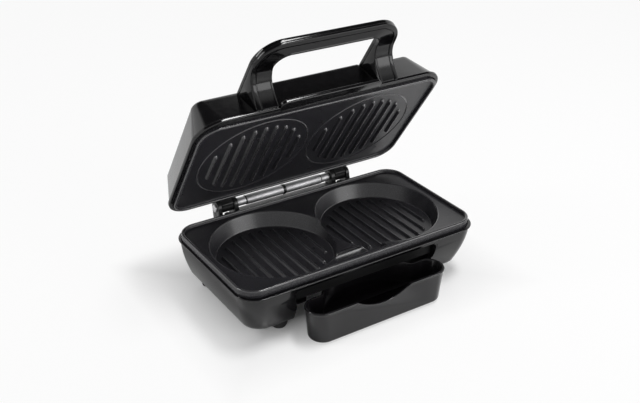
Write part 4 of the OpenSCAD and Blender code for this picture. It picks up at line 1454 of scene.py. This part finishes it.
@dataclass
class Handle:
    """The loop handle in two glossy shells.

    Attributes:
        half: half its outside width.
        leg: width of a leg.
        front: y of its front face.
        bar: depth of the bar.
        top: z of its top face.
        seam: z where the two shells meet.
        gap: width of the seam.
        thin: least height of the lower shell.
        bend_out: radius of the loop's outer bends.
        bend_in: radius of its inner bends.
        bend_steps: stretches in a bend.
        outer_rise: z of the underside's outer edge where a bend starts and where it ends.
        inner_rise: the same for the inner edge.
        lower_soft: radii of the lower shell's lower edges, outside and inside.
        upper_soft: radius of the upper shell's upper edges.
        seam_soft: radius of the edges at the seam.
    """

    half: float = 72.5
    leg: float = 20.2
    front: float = -120.0
    bar: float = 12.0
    top: float = 39.6
    seam: float = 35.4
    gap: float = 0.12
    thin: float = 0.8
    bend_out: float = 25.0
    bend_in: float = 14.0
    bend_steps: int = 14
    outer_rise: Point2 = (31.4, 33.3)
    inner_rise: Point2 = (31.2, 29.5)
    lower_soft: Point2 = (2.2, 0.8)
    upper_soft: float = 1.5
    seam_soft: float = 0.25

    # The groove in the underside, as distance from the outer edge (from the inner one where it is
    # below zero) and depth.
    GROOVE: tuple = ((3.6, 0.0), (4.3, 0.12), (4.7, 0.45), (4.9, 1.1), (5.4, 1.1), (5.6, 0.55),
                     (6.2, 0.5), (-2.6, 0.5), (-2.1, 0.45), (-1.7, 0.05))
    # The underside of a leg from the lid's wall to the bend, as y and z.
    UNDER: tuple = ((-54.6, 39.0), (-60.0, 28.0), (-66.0, 15.8), (-69.6, 8.5), (-71.2, 7.2),
                    (-72.0, 7.6), (-73.2, 10.8), (-74.6, 14.0), (-76.1, 17.1), (-77.8, 20.3),
                    (-79.4, 23.0), (-81.3, 25.5), (-83.6, 27.7), (-86.2, 29.1), (-89.0, 30.3),
                    (-91.6, 31.0), (-94.0, 31.3))

    def stations(self) -> list[tuple[Point2, Point2, float, float]]:
        """Where the shells' sections stand, all round the loop.

        Returns:
            Outer point, inner point and z of the underside at both, for each station.
        """
        x0 = self.half
        x1 = self.half - self.leg
        left = [((-x0, y), (-x1, y), z, z) for y, z in self.UNDER]
        outer = arc(-x0 + self.bend_out, self.front + self.bend_out, self.bend_out, 180, 270,
                    self.bend_steps)
        inner = arc(-x1 + self.bend_in, self.front + self.bar + self.bend_in, self.bend_in, 180, 270,
                    self.bend_steps)
        for i, (a, b) in enumerate(zip(outer, inner)):
            share = i / self.bend_steps
            z_out, z_in = (low + (high - low) * share for low, high in (self.outer_rise, self.inner_rise))
            left.append((a, b, z_out, z_in))
        right = [((-a[0], a[1]), (-b[0], b[1]), p, q) for a, b, p, q in reversed(left)]
        return left + right

    def section(self, length: float, z_out: float, z_in: float, lower: bool) -> list[Point2]:
        """One shell's section.

        Args:
            length: its width.
            z_out: z of the handle's underside at the outer edge.
            z_in: the same at the inner edge.
            lower: whether it is the shell under the seam.

        Returns:
            Pairs of distance from the outer edge and z.
        """
        if lower:
            high = self.seam
            z_out = min(z_out, high - self.thin)
            z_in = min(z_in, high - self.thin)
            low_out, low_in = self.lower_soft
            high_soft = self.seam_soft
        else:
            high = self.top
            z_out = z_in = self.seam + self.gap
            low_out = low_in = self.seam_soft
            high_soft = self.upper_soft
        most = (high - max(z_out, z_in)) * 0.45
        points = []
        for corner, z, r, start in ((0.0, z_out, low_out, 180), (length, z_in, low_in, 270),
                                    (length, high, high_soft, 0), (0.0, high, high_soft, 90)):
            r = min(r, most)
            mid_s = corner + (r if corner == 0.0 else -r)
            mid_z = z + (r if start >= 180 else -r)
            points += arc(mid_s, mid_z, r, start, start + 90, 4)
            if lower and start == 180:
                for along, deep in self.GROOVE:
                    s = along if along > 0 else length + along
                    share = s / length
                    points.append((s, z_out + (z_in - z_out) * share + deep))
        return points

    def shell(self, name: str, lower: bool) -> Solid:
        """Skins one of the two shells.

        Args:
            name: the piece's name.
            lower: whether it is the shell under the seam.

        Returns:
            The solid.
        """
        rings = []
        for (ox, oy), (ix, iy), z_out, z_in in self.stations():
            length = math.hypot(ix - ox, iy - oy)
            ux = (ix - ox) / length
            uy = (iy - oy) / length
            rings.append([(ox + ux * s, oy + uy * s, z)
                          for s, z in self.section(length, z_out, z_in, lower)])
        return Solid(name).loft(rings)

    def build(self) -> list[bpy.types.Object]:
        """Builds both shells.

        Returns:
            The finished pieces.
        """
        shells = (("handle_lower_shell", True, "handle_base"), ("handle_upper_shell", False, "handle_cover"))
        return [finish_piece(self.shell(name, lower).object(), Finishes.HANDLE, Body.LID, [node])
                for name, lower, node in shells]


@dataclass
class Hinge:
    """The bright sleeves on the hinge pin, with their collars.

    Attributes:
        y: the hinge axis.
        z: the hinge axis.
        bore: radius of the pin's shank.
        sleeve_r: radius of the sleeves.
        sleeve: inner and outer end of a sleeve, in x.
        collar_r: radius of the collars.
        collar: inner and outer end of a collar.
        gap_shade_r: radius of the thin black rings between sleeves and collars, painted shade for the gaps
            there.
        gap_shade_ring: inner and outer end of such a ring.
        middle_r: radius of the ring between the sleeves.
        middle: half its thickness.
    """

    y: float = 78.0
    z: float = 3.5
    bore: float = 2.5
    sleeve_r: float = 4.7
    sleeve: Point2 = (1.5, 42.1)
    collar_r: float = 4.1
    collar: Point2 = (42.9, 52.4)
    gap_shade_r: float = 4.5
    gap_shade_ring: Point2 = (42.15, 42.85)
    middle_r: float = 5.0
    middle: float = 1.4

    # The pin's profile with its two heads, as radius and x.
    PIN: tuple = ((0, -76), (2.9, -76), (3.6, -75.6), (3.8, -75.0), (3.8, -74.5), (2.5, -74.5),
                  (2.5, 74.5), (3.8, 74.5), (3.8, 75.0), (3.6, 75.6), (2.9, 76), (0, 76))

    def tube(self, name: str, span: Point2, r: float, soft: float = 0.5) -> Solid:
        """A tube on the pin with eased ends.

        Args:
            name: the piece's name.
            span: its two ends, in x.
            r: its radius.
            soft: how far its ends are eased.

        Returns:
            The tube.
        """
        x0, x1 = sorted(span)
        profile = [(self.bore, x0 + 0.05), (r - soft, x0), (r - soft * 0.3, x0 + soft * 0.3), (r, x0 + soft),
                   (r, x1 - soft), (r - soft * 0.3, x1 - soft * 0.3), (r - soft, x1), (self.bore, x1 - 0.05)]
        return Solid(name).lathe(profile, Axis.X, (0, self.y, self.z), 48)

    def mirrored(self, span: Point2, side: int) -> Point2:
        """A span on the left (-1) or the right (1)."""
        return side * span[0], side * span[1]

    def build(self) -> list[bpy.types.Object]:
        """Builds sleeves, collars, black rings and pin.

        Returns:
            The finished pieces.
        """
        left = self.tube("sleeve_left", self.mirrored(self.sleeve, -1), self.sleeve_r)
        right = self.tube("sleeve_right", self.sleeve, self.sleeve_r)
        collars = Solid("spacer_collars")
        black_rings = self.tube("hinge_black_rings", (-self.middle, self.middle), self.middle_r, 0.4)
        for side in (-1, 1):
            collars.add(self.tube("collar", self.mirrored(self.collar, side), self.collar_r))
            # Painted shade: a thin black ring at each collar stands in for the dark gap between sleeve and
            # collar.
            black_rings.add(self.tube("gap_shade_ring", self.mirrored(self.gap_shade_ring, side), self.gap_shade_r, 0.15))
        pin = Solid("hinge_rod").lathe(self.PIN, Axis.X, (0, self.y, self.z), 32)
        pieces = ((left, Finishes.BRIGHT, ["hinge_sleeve_left"]),
                  (right, Finishes.BRIGHT, ["hinge_sleeve_right"]),
                  (collars, Finishes.BRIGHT, ["hinge_collars"]),
                  (black_rings, Finishes.BLACK, []),
                  (pin, Finishes.STEEL, ["hinge_pin"]))
        return [finish_piece(solid.object(), finish, Body.BASE, nodes) for solid, finish, nodes in pieces]


@dataclass
class SoftenedNodes:
    """Small CAD pieces that are carried over with eased edges."""

    # Node, name of the piece, finish, body and width of the rounding in millimetres.
    PIECES: tuple = (("base_hinge_brackets", "hinge_brackets", Finishes.BLACK, Body.BASE, 0.5),
                     ("lid_hinge_arms", "lid_arms", Finishes.BLACK, Body.LID, 0.6),
                     ("cord_gland", "cord_bush", Finishes.BLACK, Body.BASE, 0.5),
                     ("base_bottom_cover", "bottom_cover", Finishes.BLACK, Body.BASE, 0.3))

    def build(self) -> list[bpy.types.Object]:
        """Copies, eases and dresses each piece.

        Returns:
            The finished pieces.
        """
        made = []
        for node, name, finish, body, width in self.PIECES:
            obj = bpy.data.objects.new(name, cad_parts[node].data.copy())
            bpy.context.scene.collection.objects.link(obj)
            ease_edges(obj, width / 1000, 30.0, 2)
            made.append(dress(obj, finish, body, [node]))
        return made


@dataclass
class CarriedNodes:
    """CAD nodes whose shape is right and that only need their finish."""

    STEEL: tuple = ("lower_heating_element", "upper_heating_element", "lower_heat_reflector",
                    "upper_heat_reflector", "lower_plate_screws", "upper_plate_screws",
                    "lower_reflector_screws", "upper_reflector_screws", "bottom_cover_screws",
                    "bracket_screws", "hinge_arm_screws", "handle_screws", "thermal_fuse")
    CERAMIC: tuple = ("lower_thermostat", "upper_thermostat", "terminal_block")
    LAMP: tuple = ("indicator_lamps",)

    def build(self) -> None:
        """Gives each node its material."""
        for names, finish in ((self.STEEL, Finishes.STEEL), (self.CERAMIC, Finishes.CERAMIC),
                              (self.LAMP, Finishes.LAMP)):
            for name in names:
                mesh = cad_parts[name].data
                mesh.materials.clear()
                mesh.materials.append(finish.material())
                LOG.info("dressed %s", name)


# Studio


@dataclass
class Studio:
    """Floor, lamps, world and camera, matched to the photograph.

    Attributes:
        azimuth: the camera's angle round the part, in degrees.
        elevation: its angle over the table, in degrees.
        roll: its roll in degrees.
        distance: its distance in drawing millimetres.
        shift_x: how far the drawing's origin lies off its axis.
        shift_y: the same, upwards.
        lens: focal length in millimetres on a 36 mm sensor.
        floor_r: radius of the floor in metres.
        print_x: half width of the part's print on the floor, in metres.
        print_y: half depth of it.
        near: distance from that print where the floor starts to turn plain white.
        far: distance where that is complete.
        plain: share of plain white there.
        low_sky: sine of the height up to which the surround is white.
        high_sky: sine of the height from which it is dark.
        dark: strength of the dark part.
    """

    azimuth: float = -33.78
    elevation: float = 28.08
    roll: float = 0.87
    distance: float = 860.99
    shift_x: float = 6.71
    shift_y: float = -22.16
    lens: float = 937.07 * 36 / 640
    floor_r: float = 2.6
    print_x: float = 0.1
    print_y: float = 0.055
    near: float = -0.01
    far: float = 0.07
    plain: float = 0.85
    low_sky: float = 0.5
    high_sky: float = 0.6
    dark: float = 0.03

    # Name, place, target, width and height of the face, all in metres, and power in watts.
    LAMPS: tuple = (("overhead", (0.3, -0.2, 1.25), (0, 0, 0.05), (0.5, 0.22), 8),
                    ("front_right", (0.7, -1.25, 0.5), (0, 0, 0.05), (1.1, 0.6), 7),
                    ("left_strip", (-1.2, 0.5, 0.85), (0, 0, 0.1), (0.12, 0.8), 4))

    def camera(self) -> bpy.types.Object:
        """Places the camera where the photograph was taken from.

        Returns:
            The camera.
        """
        a, e, r = (math.radians(v) for v in (self.azimuth, self.elevation, self.roll))
        back = Vector((math.sin(a) * math.cos(e), -math.cos(a) * math.cos(e), math.sin(e)))
        level_right = Vector((math.cos(a), math.sin(a), 0.0))
        level_up = back.cross(level_right)
        right = level_right * math.cos(r) + level_up * math.sin(r)
        up = level_up * math.cos(r) - level_right * math.sin(r)
        spot = back * self.distance - right * self.shift_x - up * self.shift_y
        data = bpy.data.cameras.new("camera")
        data.lens = self.lens
        data.sensor_width = 36.0
        data.sensor_fit = "HORIZONTAL"
        data.clip_start = 0.01
        data.clip_end = 50.0
        obj = bpy.data.objects.new("camera", data)
        turn = Matrix((right, up, back)).transposed().to_4x4()
        obj.matrix_world = Matrix.Translation(Vector(PLACEMENT.metres(spot, Body.BASE))) @ turn
        bpy.context.scene.collection.objects.link(obj)
        bpy.context.scene.camera = obj
        return obj

    def floor(self) -> bpy.types.Object:
        """A pale floor that is nearly plain white away from the part.

        Returns:
            The floor.
        """
        rings = [level(circle(0, 0, self.floor_r, 36), 0.0),
                 level(circle(0, 0, self.floor_r - 0.01, 36), -0.002)]
        obj = Solid("floor").loft(rings).object()
        g = Graph("floor_sheet")
        at = g.node("SeparateXYZ", {0: g.node("TexCoord").outputs["Object"]})
        beside = g.maths("SUBTRACT", g.maths("ABSOLUTE", at.outputs["X"]), self.print_x)
        before = g.maths("SUBTRACT", g.maths("ABSOLUTE", at.outputs["Y"]), self.print_y)
        away = g.ramp(g.maths("MAXIMUM", beside, before), self.near, self.far, 0.0, self.plain)
        seen = g.maths("MULTIPLY", away, g.node("LightPath").outputs["Is Camera Ray"])
        sheet = g.node("BsdfPrincipled", {"Base Color": (0.97, 0.97, 0.97, 1), "Roughness": 0.2,
                                          "Specular IOR Level": 0.4})
        white = g.node("Emission", {"Color": (1, 1, 1, 1), "Strength": 1.0})
        both = g.node("MixShader", {0: seen, 1: sheet.outputs["BSDF"], 2: white.outputs["Emission"]})
        g.node("OutputMaterial", {"Surface": both.outputs["Shader"]})
        obj.data.materials.append(g.material)
        return obj

    def world(self) -> None:
        """Surround light: white low down, dark above, and plain white to the camera."""
        world = bpy.data.worlds.new("surround")
        bpy.context.scene.world = world
        world.use_nodes = True
        nodes = world.node_tree.nodes
        links = world.node_tree.links
        nodes.clear()
        path = nodes.new("ShaderNodeLightPath")
        seen = nodes.new("ShaderNodeMath")
        seen.operation = "MAXIMUM"
        links.new(path.outputs["Is Camera Ray"], seen.inputs[0])
        links.new(path.outputs["Is Transmission Ray"], seen.inputs[1])
        rise = nodes.new("ShaderNodeSeparateXYZ")
        links.new(nodes.new("ShaderNodeTexCoord").outputs["Generated"], rise.inputs[0])
        fade = nodes.new("ShaderNodeMapRange")
        for key, value in (("From Min", self.low_sky), ("From Max", self.high_sky), ("To Min", 1.0),
                           ("To Max", self.dark)):
            fade.inputs[key].default_value = value
        links.new(rise.outputs["Z"], fade.inputs["Value"])
        soft = nodes.new("ShaderNodeBackground")
        soft.inputs["Color"].default_value = (1, 1, 1, 1)
        links.new(fade.outputs["Result"], soft.inputs["Strength"])
        white = nodes.new("ShaderNodeBackground")
        white.inputs["Color"].default_value = (1, 1, 1, 1)
        white.inputs["Strength"].default_value = 1.0
        mix = nodes.new("ShaderNodeMixShader")
        out = nodes.new("ShaderNodeOutputWorld")
        links.new(seen.outputs[0], mix.inputs[0])
        links.new(soft.outputs[0], mix.inputs[1])
        links.new(white.outputs[0], mix.inputs[2])
        links.new(mix.outputs[0], out.inputs[0])

    def lamp(self, name: str, spot: Point3, target: Point3, size: Point2, power: float) -> bpy.types.Object:
        """A soft box.

        Args:
            name: the lamp's name.
            spot: where it stands, in metres.
            target: what it points at.
            size: width and height of its face.
            power: its power in watts.

        Returns:
            The lamp.
        """
        data = bpy.data.lights.new(name, "AREA")
        data.shape = "RECTANGLE"
        data.size, data.size_y = size
        data.energy = power
        obj = bpy.data.objects.new(name, data)
        obj.location = spot
        obj.rotation_euler = (Vector(spot) - Vector(target)).to_track_quat("Z", "Y").to_euler()
        bpy.context.scene.collection.objects.link(obj)
        return obj

    def build(self) -> None:
        """Sets up everything round the part."""
        self.camera()
        self.floor()
        self.world()
        for row in self.LAMPS:
            self.lamp(*row)
        bpy.context.scene.view_settings.view_transform = "Standard"


def main() -> None:
    logging.basicConfig(level=logging.INFO, format="%(name)s: %(message)s")
    Studio().build()
    BaseHousing().build()
    plates = GrillPlates()
    plates.lower()
    plates.upper()
    GreaseTray().build()
    Feet().build()
    LidHousing().build()
    Handle().build()
    Hinge().build()
    SoftenedNodes().build()
    CarriedNodes().build()


if __name__ == "__main__":
    main()
